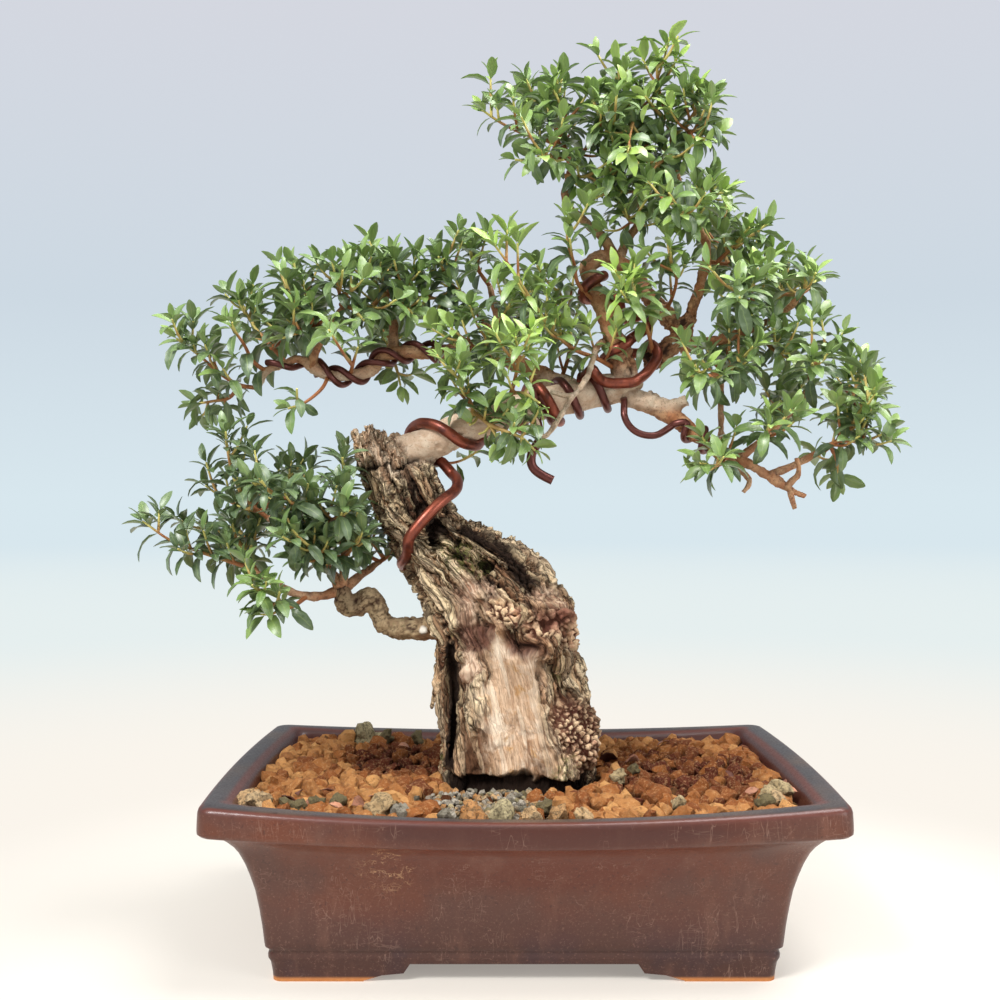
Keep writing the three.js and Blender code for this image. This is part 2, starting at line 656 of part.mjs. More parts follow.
const SPRAYS = {
  crown_spray_01: [
    [[19, 0, 338], [11, -3, 341], [4, -6, 342], [-6, -10, 345], [-14, -13, 350], [-22, -16, 354]],
    [[15, -2, 340], [19, -5, 350], [17, -6, 360], [15, -8, 371]],
  ],
  crown_spray_02: [
    [[21, -1, 330], [18, 8, 345], [11, 14, 359], [3, 18, 371]],
    [[20, 3, 335], [14, -6, 333], [10, -20, 330], [8, -30, 327]],
  ],
  crown_spray_03: [
    [[53, 8, 353], [48, 4, 357], [43, -2, 363], [42, -6, 370], [41, -8, 380]],
    [[48, 4, 357], [48, -6, 350], [45, -20, 338], [43, -32, 328]],
  ],
  crown_spray_04: [[[60, 0, 363], [58, -4, 369], [55, -8, 374], [53, -10, 382]]],
  crown_spray_05: [
    [[66, 3, 344], [70, -4, 347], [74, -10, 352], [75, -14, 359]],
    [[70, -4, 347], [73, -14, 339], [76, -22, 336]],
  ],
  crown_spray_06: [[[54, 14, 320], [60, 30, 328], [64, 46, 337], [66, 56, 348]]],
  crown_spray_07: [[[77, 7, 306], [72, -10, 305], [65, -26, 306], [59, -38, 310]]],
  crown_spray_08: [[[72, 7, 317], [78, 0, 317], [82, -8, 316], [85, -14, 316]]],
  crown_spray_09: [
    [[81, 8, 291], [90, 14, 291], [101, 20, 292], [112, 24, 296]],
    [[87, 12, 291], [93, 4, 297], [98, -6, 303]],
    [[93, 16, 291], [93, 32, 302], [95, 46, 312], [98, 56, 322]],
  ],
  crown_spray_10: [[[57, -1, 250], [54, -10, 257], [50, -16, 265], [46, -22, 270], [44, -28, 277]]],
  crown_spray_11: [[[63, 5, 268], [65, -4, 273], [66, -10, 280], [63, -16, 286], [62, -22, 291]]],
  crown_spray_12: [[[31, -4, 272], [24, -10, 278], [22, -14, 286], [19, -18, 295], [19, -20, 304]]],
  crown_spray_13: [
    [[120, 2, 273], [122, -4, 276], [123, -8, 283]],
    [[121, -1, 275], [119, 18, 278], [121, 36, 284], [123, 46, 291]],
  ],
  crown_spray_14: [
    [[98, 8, 260], [99, 0, 268], [99, -8, 276], [100, -14, 284]],
    [[99, 1, 267], [93, -14, 268], [90, -26, 270], [88, -36, 274]],
  ],
  right_spray_01: [
    [[125, -4, 235], [125, -2, 243], [132, 0, 250], [141, 2, 259]],
    [[125, -3, 239], [122, -16, 240], [120, -28, 244]],
  ],
  right_spray_02: [
    [[136, -6, 211], [142, -2, 225], [146, 0, 238], [148, 2, 247]],
    [[142, -2, 225], [149, 14, 228], [154, 28, 233], [157, 38, 240]],
  ],
  right_spray_03: [
    [[130, -7, 207], [137, -13, 213], [142, -18, 223], [147, -22, 233]],
    [[135, -11, 211], [146, -12, 211], [156, -12, 215]],
    [[132, -9, 209], [136, -4, 202], [138, 4, 194]],
  ],
  right_spray_04: [[[103, -8, 211], [101, -24, 212], [99, -40, 216]]],
  right_spray_05: [[[87, -8, 206], [84, -18, 201], [79, -24, 200], [73, -30, 201]]],
  right_spray_06: [
    [[87, 0, 239], [89, -10, 242], [92, -20, 245], [95, -28, 249]],
    [[88, -6, 241], [81, -22, 238], [74, -34, 237], [69, -42, 238]],
    [[87, -2, 240], [94, 14, 245], [101, 34, 252], [107, 48, 259]],
  ],
  right_spray_07: [[[112, -6, 220], [118, 14, 227], [124, 32, 234], [131, 46, 242]]],
  right_spray_08: [[[104, 7, 262], [108, 2, 253], [111, -6, 249], [114, -11, 248]]],
  left_spray_01: [
    [[-114, -4, 234], [-121, -7, 235], [-128, -9, 239], [-137, -12, 247], [-146, -16, 254]],
    [[-121, -7, 235], [-128, 2, 230], [-136, 6, 229], [-145, 10, 228]],
  ],
  left_spray_02: [[[-110, -3, 241], [-115, -8, 245], [-118, -14, 252], [-124, -20, 261]]],
  left_spray_03: [
    [[-102, -1, 245], [-112, 4, 256], [-119, 8, 264], [-124, 10, 274]],
    [[-109, 2, 252], [-107, 18, 257], [-103, 34, 264], [-99, 46, 271]],
  ],
  left_spray_04: [
    [[-86, -2, 256], [-93, -7, 264], [-98, -10, 272], [-101, -14, 281]],
    [[-93, -7, 264], [-93, 4, 272], [-96, 12, 278], [-98, 16, 285]],
  ],
  left_spray_05: [[[-77, -4, 269], [-78, -8, 274], [-79, -12, 279], [-80, -16, 286]]],
  left_spray_06: [
    [[-56, 16, 275], [-62, 8, 279], [-67, 2, 285], [-69, -2, 292]],
    [[-58, 13, 276], [-60, 20, 283], [-60, 24, 289], [-59, 28, 295]],
  ],
  left_spray_07: [[[-84, 2, 240], [-86, -8, 233], [-92, -14, 227], [-98, -20, 224]]],
  left_spray_08: [
    [[-75, 4, 240], [-72, -8, 245], [-69, -18, 250]],
    [[-73, -6, 244], [-74, -22, 246], [-76, -34, 250], [-78, -42, 254]],
  ],
  left_spray_09: [
    [[-58, 8, 249], [-60, 26, 257], [-60, 42, 265], [-60, 56, 274]],
    [[-59, 18, 253], [-56, 20, 245], [-54, 18, 237]],
  ],
  left_spray_10: [[[-27, 22, 279], [-31, 14, 282], [-34, 6, 286], [-36, -2, 291]]],
  centre_spray_01: [
    [[40, -1, 243], [31, -14, 246], [22, -18, 249], [13, -22, 256], [4, -27, 268], [-5, -32, 281],
      [-12, -36, 290]],
  ],
  centre_spray_02: [
    [[-12, 20, 250], [-19, 0, 251], [-24, -10, 254], [-30, -18, 258]],
    [[-18, 2, 251], [-14, -8, 257], [-8, -14, 264], [-4, -18, 270]],
  ],
  centre_spray_03: [[[-5, -27, 229], [-3, -32, 236], [-2, -38, 243], [-3, -44, 251]]],
  centre_spray_04: [
    [[-22, -5, 218], [-21, -22, 225], [-25, -30, 233], [-30, -37, 240]],
    [[-21, -18, 223], [-14, -24, 217], [-9, -26, 209]],
  ],
  centre_spray_05: [[[-40, -2, 206], [-33, 8, 202], [-27, 12, 203], [-22, 16, 206]]],
  centre_spray_06: [
    [[-10, 26, 265], [-3, 31, 272], [3, 34, 279], [8, 37, 287]],
    [[-6, 29, 269], [2, 42, 268], [10, 52, 270], [18, 58, 274]],
  ],
  centre_spray_07: [[[17, 10, 237], [21, 14, 249], [22, 14, 261], [19, 8, 272], [15, 4, 282]]],
  centre_spray_08: [[[-14, 32, 284], [-18, 30, 289], [-22, 26, 295], [-23, 22, 303]]],
  low_spray_01: [
    [[-117, -18, 158], [-126, -19, 161], [-135, -20, 164], [-147, -22, 169], [-158, -24, 177]],
  ],
  low_spray_02: [
    [[-108, -12, 178], [-117, -14, 186], [-122, -16, 196], [-125, -18, 213]],
    [[-112, -13, 181], [-122, -2, 183], [-131, 3, 187], [-139, 7, 192]],
    [[-111, -12, 181], [-106, 0, 187], [-103, 8, 194], [-102, 12, 203]],
  ],
  low_spray_03: [
    [[-77, -8, 174], [-83, -22, 178], [-95, -32, 185], [-109, -42, 194]],
    [[-81, -18, 177], [-76, -30, 179], [-72, -40, 184]],
  ],
  low_spray_04: [[[-76, -9, 186], [-76, -10, 192], [-76, -11, 198], [-76, -12, 205]]],
  low_spray_05: [
    [[-111, -17, 154], [-119, -11, 165], [-128, -10, 171], [-136, -8, 176]],
    [[-118, -12, 164], [-120, 4, 166], [-125, 20, 170], [-131, 34, 174]],
  ],
  low_spray_06: [[[-91, -12, 145], [-97, -26, 141], [-103, -36, 144], [-108, -46, 152]]],
  low_spray_07: [[[-76, -8, 161], [-82, -24, 163], [-88, -36, 168], [-92, -47, 174]]],
  low_spray_08: [[[-63, 8, 158], [-59, 12, 161], [-57, 16, 167], [-57, 18, 174]]],
  low_spray_09: [
    [[-92, 28, 159], [-98, 38, 165], [-104, 48, 174], [-109, 54, 183]],
    [[-95, 33, 162], [-88, 44, 165], [-82, 52, 170], [-79, 57, 177]],
  ],
};
const YOUNG_SPRAYS = [
  'crown_spray_04', 'crown_spray_10', 'centre_spray_01', 'centre_spray_03', 'low_spray_06',
];

// Distance of each leaf pair back from the shoot's tip, its length, width, opening angle and the
// bare shoot that it needs below it
const LEAF_PAIRS = [
  { back: 0.7, length: 13, width: 5.2, angle: 0.62, room: 0 },
  { back: 8, length: 16, width: 6.4, angle: 1.05, room: 3 },
  { back: 16, length: 17, width: 6.8, angle: 1.2, room: 14.5 },
];

function unitAcross(vector, tangent) {
  return vector.clone().addScaledVector(tangent, -vector.dot(tangent)).normalize();
}

function routeLength(points) {
  return points.slice(1).reduce((sum, point, index) => sum + point.distanceTo(points[index]), 0);
}

function pointAlong(points, distance) {
  let left = distance;
  let index = 0;
  while (index < points.length - 2 && left > points[index + 1].distanceTo(points[index])) {
    left -= points[index + 1].distanceTo(points[index]);
    index += 1;
  }
  const span = points[index + 1].distanceTo(points[index]);
  return points[index].clone().lerp(points[index + 1], left / span);
}

function boxesMeet(a, b) {
  const first = a.boundingBox();
  const second = b.boundingBox();
  return [0, 1, 2].every((axis) => first.min[axis] < second.max[axis] && second.min[axis] < first.max[axis]);
}

function meets(a, b) {
  return boxesMeet(a, b) && !a.intersect(b).isEmpty();
}

// A leaf's widest points, rib and tip: a thin arched blade, thickest along its rib.
function leafPoints({ root, axis, face, side, length, width }, extra) {
  const arch = LEAF_ARCH * length;
  const spot = (along, across, level) => root.clone()
    .addScaledVector(axis, along * (length + extra))
    .addScaledVector(side, across * (width / 2 + extra))
    .addScaledVector(face, level);
  const rib = 0.55 * arch;
  const half = LEAF_THICKNESS / 2 + extra;
  return [
    spot(LEAF_WIDEST, 0, rib - half),
    spot(LEAF_WIDEST, 1, rib),
    spot(LEAF_WIDEST, 0, rib + half),
    spot(LEAF_WIDEST, -1, rib),
    spot(1, 0, -arch),
  ];
}

function leafEnvelope(leaf, extra) {
  const [low, right, high, left, tip] = leafPoints(leaf, extra);
  const start = leaf.root.clone().addScaledVector(leaf.axis, 1);
  const corners = [start, low, right, high, left, tip];
  const faces = [0, 2, 1, 0, 3, 2, 0, 4, 3, 0, 1, 4, 1, 2, 5, 2, 3, 5, 3, 4, 5, 4, 1, 5];
  return solidOf(corners, faces);
}

// The rings of a square shoot, with two close rings wherever a leaf pair grows.
function shootRings(route, startTurn) {
  const points = routePoints(route);
  const length = routeLength(points);
  const pairs = LEAF_PAIRS.filter((pair) => length - pair.back >= pair.room);
  const stops = pairs.map((pair) => ({ at: length - pair.back, pair }));
  const levels = stops.flatMap(({ at, pair }) => [
    { at: at - LEAF_ROOT_HEIGHT / 2, pair },
    { at: at + LEAF_ROOT_HEIGHT / 2, pair: null },
  ]);
  let reached = 0;
  points.slice(0, -1).forEach((point, index) => {
    if (levels.every((level) => Math.abs(level.at - reached) > RING_SPACING)) {
      levels.push({ at: reached, pair: null });
    }
    reached += points[index + 1].distanceTo(point);
  });
  levels.sort((a, b) => a.at - b.at);
  const centres = levels.map((level) => pointAlong(points, level.at));
  const tangents = routeTangents(centres);
  const sides = routeSides(tangents);
  return levels.map((level, index) => {
    const radius = STEM_BASE_RADIUS + (STEM_TIP_RADIUS - STEM_BASE_RADIUS) * (level.at / length);
    const other = new THREE.Vector3().crossVectors(tangents[index], sides[index]);
    const corners = [0, 1, 2, 3].map((corner) => {
      const angle = startTurn + (corner * Math.PI) / 2;
      return centres[index].clone()
        .addScaledVector(sides[index], radius * Math.cos(angle))
        .addScaledVector(other, radius * Math.sin(angle));
    });
    return { corners, pair: level.pair, tangent: tangents[index], centre: centres[index] };
  });
}

// A leaf on one side face of a shoot, turned a little where it would meet another piece.
function fitLeaf(root, out, tangent, pair, draw, isClear) {
  const length = pair.length * (0.88 + 0.28 * draw());
  const opening = pair.angle + 0.3 * (draw() - 0.5);
  const across = new THREE.Vector3().crossVectors(tangent, out);
  const options = [[0, 0], [0.45, 0], [-0.45, 0], [0, -0.35], [0, 0.35], [0.8, 0.2], [-0.8, 0.2]];
  const leaves = options.map(([turn, open]) => {
    const away = out.clone().multiplyScalar(Math.cos(turn)).addScaledVector(across, Math.sin(turn));
    const angle = opening + open;
    const axis = tangent.clone().multiplyScalar(Math.cos(angle)).addScaledVector(away, Math.sin(angle));
    const face = tangent.clone().multiplyScalar(Math.sin(angle)).addScaledVector(away, -Math.cos(angle));
    const side = new THREE.Vector3().crossVectors(tangent, away);
    return { root, axis, face, side, length, width: pair.width };
  });
  return leaves.find((leaf) => isClear(leafEnvelope(leaf, LEAF_CLEARANCE)));
}

// One shoot with its opposite leaves, each pair turned a quarter from the last.
function shootSolid(route, draw, isClear, placed) {
  const rings = shootRings(route, (Math.PI / 2) * draw());
  const corners = rings.flatMap((ring) => ring.corners);
  const faces = [];
  let pairCount = 0;
  for (let level = 0; level < rings.length - 1; level += 1) {
    const ring = rings[level];
    for (let corner = 0; corner < 4; corner += 1) {
      const a = level * 4 + corner;
      const b = level * 4 + ((corner + 1) % 4);
      const c = b + 4;
      const d = a + 4;
      const middle = corners[a].clone().add(corners[b]).add(corners[c]).add(corners[d]).divideScalar(4);
      const bears = ring.pair && corner % 2 === pairCount % 2;
      const out = unitAcross(middle.clone().sub(ring.centre), ring.tangent);
      const leaf = bears ? fitLeaf(middle, out, ring.tangent, ring.pair, draw, isClear) : null;
      if (leaf) {
        placed.push(leafEnvelope(leaf, 0));
        const first = corners.length;
        corners.push(...leafPoints(leaf, 0));
        const [low, right, high, left, tip] = [0, 1, 2, 3, 4].map((index) => first + index);
        faces.push(a, b, low, b, right, low, b, c, right, c, high, right);
        faces.push(c, d, high, d, left, high, d, a, left, a, low, left);
        faces.push(low, right, tip, right, high, tip, high, left, tip, left, low, tip);
      } else {
        faces.push(a, b, c, a, c, d);
      }
    }
    pairCount += ring.pair ? 1 : 0;
  }
  const last = (rings.length - 1) * 4;
  faces.push(0, 2, 1, 0, 3, 2, last, last + 1, last + 2, last, last + 2, last + 3);
  return solidOf(corners, faces);
}

function stemSolid(route) {
  const points = routePoints(route);
  return tubeSolid(points, points.map(() => STEM_BASE_RADIUS + LEAF_CLEARANCE), 4);
}

function makeSprays(woodGrown, wiresGrown) {
  const names = Object.keys(SPRAYS);
  const stems = names.map((name) => SPRAYS[name].map(stemSolid));
  const placed = [];
  const sprays = {};
  names.forEach((name, order) => {
    const draw = makeDraw(100 + order);
    const shoots = SPRAYS[name].map((route, shootIndex) => {
      const otherStems = stems.flatMap((spray, sprayIndex) => (
        spray.filter((stem, index) => sprayIndex !== order || index !== shootIndex)
      ));
      const isClear = (leaf) => (
        ![woodGrown, wiresGrown, ...otherStems, ...placed].some((body) => meets(leaf, body))
      );
      return shootSolid(route, draw, isClear, placed);
    });
    sprays[name] = largestBody(joinAll(shoots).subtract(woodGrown).subtract(wiresGrown));
  });
  return sprays;
}

// The whole bonsai

const bonsai = new THREE.Group();

function addPart(name, solid, material) {
  const mesh = new THREE.Mesh(toGeometry(solid), material);
  mesh.name = name;
  bonsai.add(mesh);
}

const wood = makeWood(0);
const woodGrown = makeWood(GAP);
const wires = makeWires(0);
const wiresGrown = joinAll(Object.values(makeWires(GAP)));

addPart('pot', makePot(), FINISHES.glaze);
addPart('drain_screen_left', makeScreen(-DRAIN_OFFSET), FINISHES.screen);
addPart('drain_screen_right', makeScreen(DRAIN_OFFSET), FINISHES.screen);
addPart('soil', makeSoil(woodGrown), FINISHES.soil);
addPart('tree_wood', wood, FINISHES.bark);
Object.entries(wires).forEach(([name, solid]) => addPart(name, solid, FINISHES.wire));
Object.entries(makeSprays(woodGrown, wiresGrown)).forEach(([name, solid]) => {
  addPart(name, solid, YOUNG_SPRAYS.includes(name) ? FINISHES.youngLeaf : FINISHES.oldLeaf);
});

export default bonsai;
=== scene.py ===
import math
import random

import bpy
import numpy as np
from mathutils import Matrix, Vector


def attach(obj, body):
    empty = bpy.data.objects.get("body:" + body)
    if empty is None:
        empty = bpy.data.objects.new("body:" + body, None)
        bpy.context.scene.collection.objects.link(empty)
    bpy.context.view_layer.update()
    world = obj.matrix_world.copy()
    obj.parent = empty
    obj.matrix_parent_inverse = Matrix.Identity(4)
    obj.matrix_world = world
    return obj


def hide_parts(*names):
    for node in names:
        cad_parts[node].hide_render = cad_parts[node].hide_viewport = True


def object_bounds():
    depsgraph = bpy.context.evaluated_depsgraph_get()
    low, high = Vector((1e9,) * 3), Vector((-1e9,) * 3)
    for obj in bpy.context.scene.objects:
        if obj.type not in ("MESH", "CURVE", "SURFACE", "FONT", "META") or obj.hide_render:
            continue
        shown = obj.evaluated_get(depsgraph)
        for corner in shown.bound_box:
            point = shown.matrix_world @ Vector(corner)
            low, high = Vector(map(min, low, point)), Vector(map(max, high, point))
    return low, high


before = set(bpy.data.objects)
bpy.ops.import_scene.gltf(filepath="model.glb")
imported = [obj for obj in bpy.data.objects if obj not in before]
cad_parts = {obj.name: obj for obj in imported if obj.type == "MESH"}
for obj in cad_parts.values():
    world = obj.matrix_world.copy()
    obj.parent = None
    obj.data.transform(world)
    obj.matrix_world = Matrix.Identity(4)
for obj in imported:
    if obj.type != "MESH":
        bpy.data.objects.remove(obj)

bl_info = {
    "name": "Myrtle Bonsai",
    "version": (1, 0, 0),
    "blender": (4, 5, 0),
    "location": "View3D > Sidebar > Bonsai",
    "description": "Models a common myrtle bonsai with its tray, soil, wires and leafy sprays",
    "category": "Object",
}

CAD_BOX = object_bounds()
MM = 0.001

# Pot: driving sizes in millimetres

RIM_HALF_LENGTH = 121.5
RIM_HALF_WIDTH = 86
POT_HEIGHT = 73
RIM_LONG_BOW = 8
RIM_SHORT_BOW = 3
RIM_SAG = 4.2
RIM_CORNER = 5
BASE_CORNER = 4
FOOT_HEIGHT = 7
FLOOR_TOP = 13
DRAIN_RADIUS = 7
DRAIN_OFFSET = 48
LONG_SIDE_STEPS = 44
SHORT_SIDE_STEPS = 30
CORNER_STEPS = 6

# Half of the gap between two feet, and the length of the low step beside it
FRONT_FOOT_GAP = (44, 18)
SIDE_FOOT_GAP = (24, 10)
UNDERSIDE_HOLLOW = (148, 84)

# Inset from the rim's outer edge against height, up the outside, over the rim and down inside
POT_OUTSIDE = [
    (24.1, 0), (23.9, 3), (23.3, 7), (22.4, 9), (22.3, 10.5), (22.7, 11.6), (22.5, 12.4), (21.3, 13.6),
    (21.0, 16), (20.4, 22), (19.4, 29), (18.2, 36), (16.6, 42), (14.9, 47.3), (12.9, 52), (11.2, 54.8),
    (9.3, 57), (7.2, 59.1), (5, 60.4), (2.6, 61.0), (0.9, 61.5), (0.1, 62.4), (0, 63.6), (0.1, 67),
    (0.3, 70.4), (0.7, 71.7), (1.5, 72.6), (2.6, 73.0),
]
POT_INSIDE = [
    (4.2, 73.1), (6.4, 73.0), (8.4, 72.8), (9.9, 72.2), (11.1, 71.3), (12.1, 70.2), (13, 68.6),
    (14.2, 65), (17, 58), (20, 50), (25, 30), (28.4, 15), (29.4, FLOOR_TOP), (36, FLOOR_TOP),
]

# Soil: driving sizes in millimetres

SOIL_TOP = 69.4
SOIL_REAR_RISE = 1.2
SOIL_EDGE_DIP = 2.6
SOIL_CLEARANCE = 0.35
BED_TOP = 62
TRUNK_HOLE_HALF = (34.5, 30.5)
TRUNK_HOLE_MIDDLE = (-2, -2.5)
TRUNK_FOOT_HALF = (34, 29.5)
TRUNK_FOOT_MIDDLE = (-1.5, -2.5)
CAVITY_WALL = 13.5
CAVITY_HALF = (108, 73)
CAVITY_BOW = (6.5, 2.4)
GRAVEL_MIDDLE = (-13, -52)
GRAVEL_REACH = (34, 27)
CHIPS = 9
GRAIN_SHAPES = 6

# Pebbles laid on the soil: x, y, width and kind of stone, from pale through ochre to green
PEBBLES = [
    (-74, 63, 12, 0.92), (-65, 60, 9, 1), (-50, 66, 8, 1), (-19, -76, 10, 0.8), (-9, -75, 10.5, 0.92),
    (2, -76, 8, 0.72), (13, -74, 8, 0.85), (-55, -68, 12, 0.88), (-47, -72, 7, 0.45), (-107, -62, 9, 0.72),
    (-102, -66, 9, 0.66), (-30, -77, 5, 0.5), (-92, -64, 6, 1), (-80, -62, 7, 1), (-72, -62, 6, 1),
    (-86, -67, 5, 1), (96, -56, 8, 0.9), (93, -62, 9, 1), (101, -48, 9, 0.9), (22, -76, 7, 0.7),
    (40, -24, 7, 0.9), (48, -8, 6, 1), (8, -66, 6, 1), (98, -60, 7, 0.66), (4, -78, 5, 0.66),
    (60, -62, 6, 0.9),
]

# Dry leaves fallen on the soil: x, y, heading in degrees and length
DRY_LEAVES = [
    (-81, -48, 20, 11), (-97, -61, 35, 12), (-88, -56, 100, 9), (-84, -61, 300, 10), (-103, -55, 60, 8),
    (-75, -66, 350, 8), (-66, -68, 58, 14), (-61, -56, 55, 13), (104, -44, 75, 10), (107, -38, 100, 8),
    (99, -50, 20, 9), (108, -52, 140, 9), (94, -46, 200, 7), (43, 8, 110, 13), (46, 2, 70, 11),
    (-57, 40, 30, 9), (72, 52, 200, 8), (-12, 62, 330, 9), (34, 50, 80, 8), (86, -14, 300, 7),
]

# Trunk: height, left edge, right edge, front and back, in millimetres

TRUNK_LEVELS = [
    (60, -36.5, 29.5, -33, 27), (76, -34, 32, -32, 27), (106, -35.5, 28, -27, 24),
    (124, -35.5, 22.5, -27, 22), (133, -40, 23, -26, 21), (142, -43, 21.5, -24, 20),
    (149, -46, 15, -23, 19), (155, -48.5, 10, -21, 18), (161, -52.5, 6, -20, 17),
    (167, -56, -4.5, -18, 16), (172, -58.5, -15, -17, 15), (177, -60.5, -28, -16, 14),
    (184, -64, -31, -15, 13), (198, -70, -38, -13, 12), (204, -72, -42, -11, 11),
    (210, -70.5, -56, -6, 8), (215, -67, -61, -3, 4),
]
TRUNK_SIDES = 120
TRUNK_FACES = 192000
FURROW_DEPTH = 0.07

# Burl knobs: middle x, y, z and radius
BURL_KNOBS = [
    (-8, -24, 136, 8), (5, -26, 139, 8), (14, -21, 137, 8), (15, -14, 129, 9), (9, -26, 127, 9),
    (15, -18, 120, 8), (19, -16, 98, 9), (25, -9, 90, 9), (17, -22, 88, 9), (25, -15, 80, 9),
    (17, -25, 77, 8), (26, 12, 84, 10), (-28, 14, 92, 9), (8, 20, 118, 9), (-12, -25, 138, 4),
    (-25.5, -22, 120, 3.2), (-22.5, -24, 113.5, 3.4), (-16, -26, 109, 2.4), (9, -27, 129, 4),
    (15, -24, 128, 4), (-4, -27, 133, 5),
]

# Broken spikes of the dead top: foot x, y, z, tip x, y, z, foot radius and tip radius
DEAD_SPIKES = [
    (-67, -4, 200, -71.8, -6, 213.5, 4.4, 1.2), (-63, -1, 204, -65.2, -3, 220.5, 4.6, 0.9),
    (-58, -3, 202, -59.4, -5, 216, 4.2, 1.8), (-54, -5, 199, -55, -7, 206, 4.4, 2),
    (-62, 3, 203, -63.5, 3, 212, 4.6, 1.6),
]

# Torn flap of bark on the left, as a spike: foot, tip and their radii
FLAP = ((-33, -20, 124), (-38, -22, 98), 3.4, 0.8)

# Black slot down the left of the front: outline, foot, top and how far it sways
SLOT_OUTLINE = [(-31.8, -45), (-27.8, -45), (-28.4, -15), (-31, -15)]
SLOT_FOOT = 77
SLOT_TOP = 125
SLOT_SWAY = 1.4

# Patches of the trunk's surface: middle and reach along x, y and z
FIRST_BURL = [
    ((11, -22, 137), (14, 24, 11)), ((18, -10, 130), (12, 24, 14)), ((-8, -25, 137), (9, 14, 8)),
]
LOWER_BURLS = [
    ((21, -16, 88), (15, 24, 19)), ((27, 12, 84), (12, 14, 14)), ((-28, 16, 92), (12, 12, 13)),
    ((8, 22, 118), (13, 12, 12)),
]
MOSS = [
    ((-25, -22, 161), (13, 12, 10)), ((15, -24, 77), (9, 16, 8)), ((14, -18, 114), (5, 12, 8)),
    ((-28, -24, 129), (3, 10, 5)), ((-4, 20, 84), (22, 14, 14)), ((-34, 8, 74), (10, 20, 10)),
    ((22, 10, 132), (10, 16, 12)),
]
PINK_BARK = [((-19, -24, 142), (14, 16, 13)), ((-24, -26, 116), (5, 12, 8))]
PINK_SHOULDER = [((12, -20, 146), (14, 14, 7))]
RECESSES = [((-1.5, -27, 124), (11, 22, 7.5)), ((-21, -26, 127.5), (6.5, 20, 9.5))]
MAROON_BURL = [((13, -24, 139), (12, 30, 8))]
# A run of painted shade on the upper left
PAINTED_SHADE_RUN = [((-34, -20, 182), (6, 20, 14))]
HOLES = [
    ((-35.8, -18, 172), (4.6, 12, 9)), ((-26.5, -21, 161.5), (4.2, 9, 3.6)),
    ((-15.5, -21, 159), (4.6, 9, 3)),
]

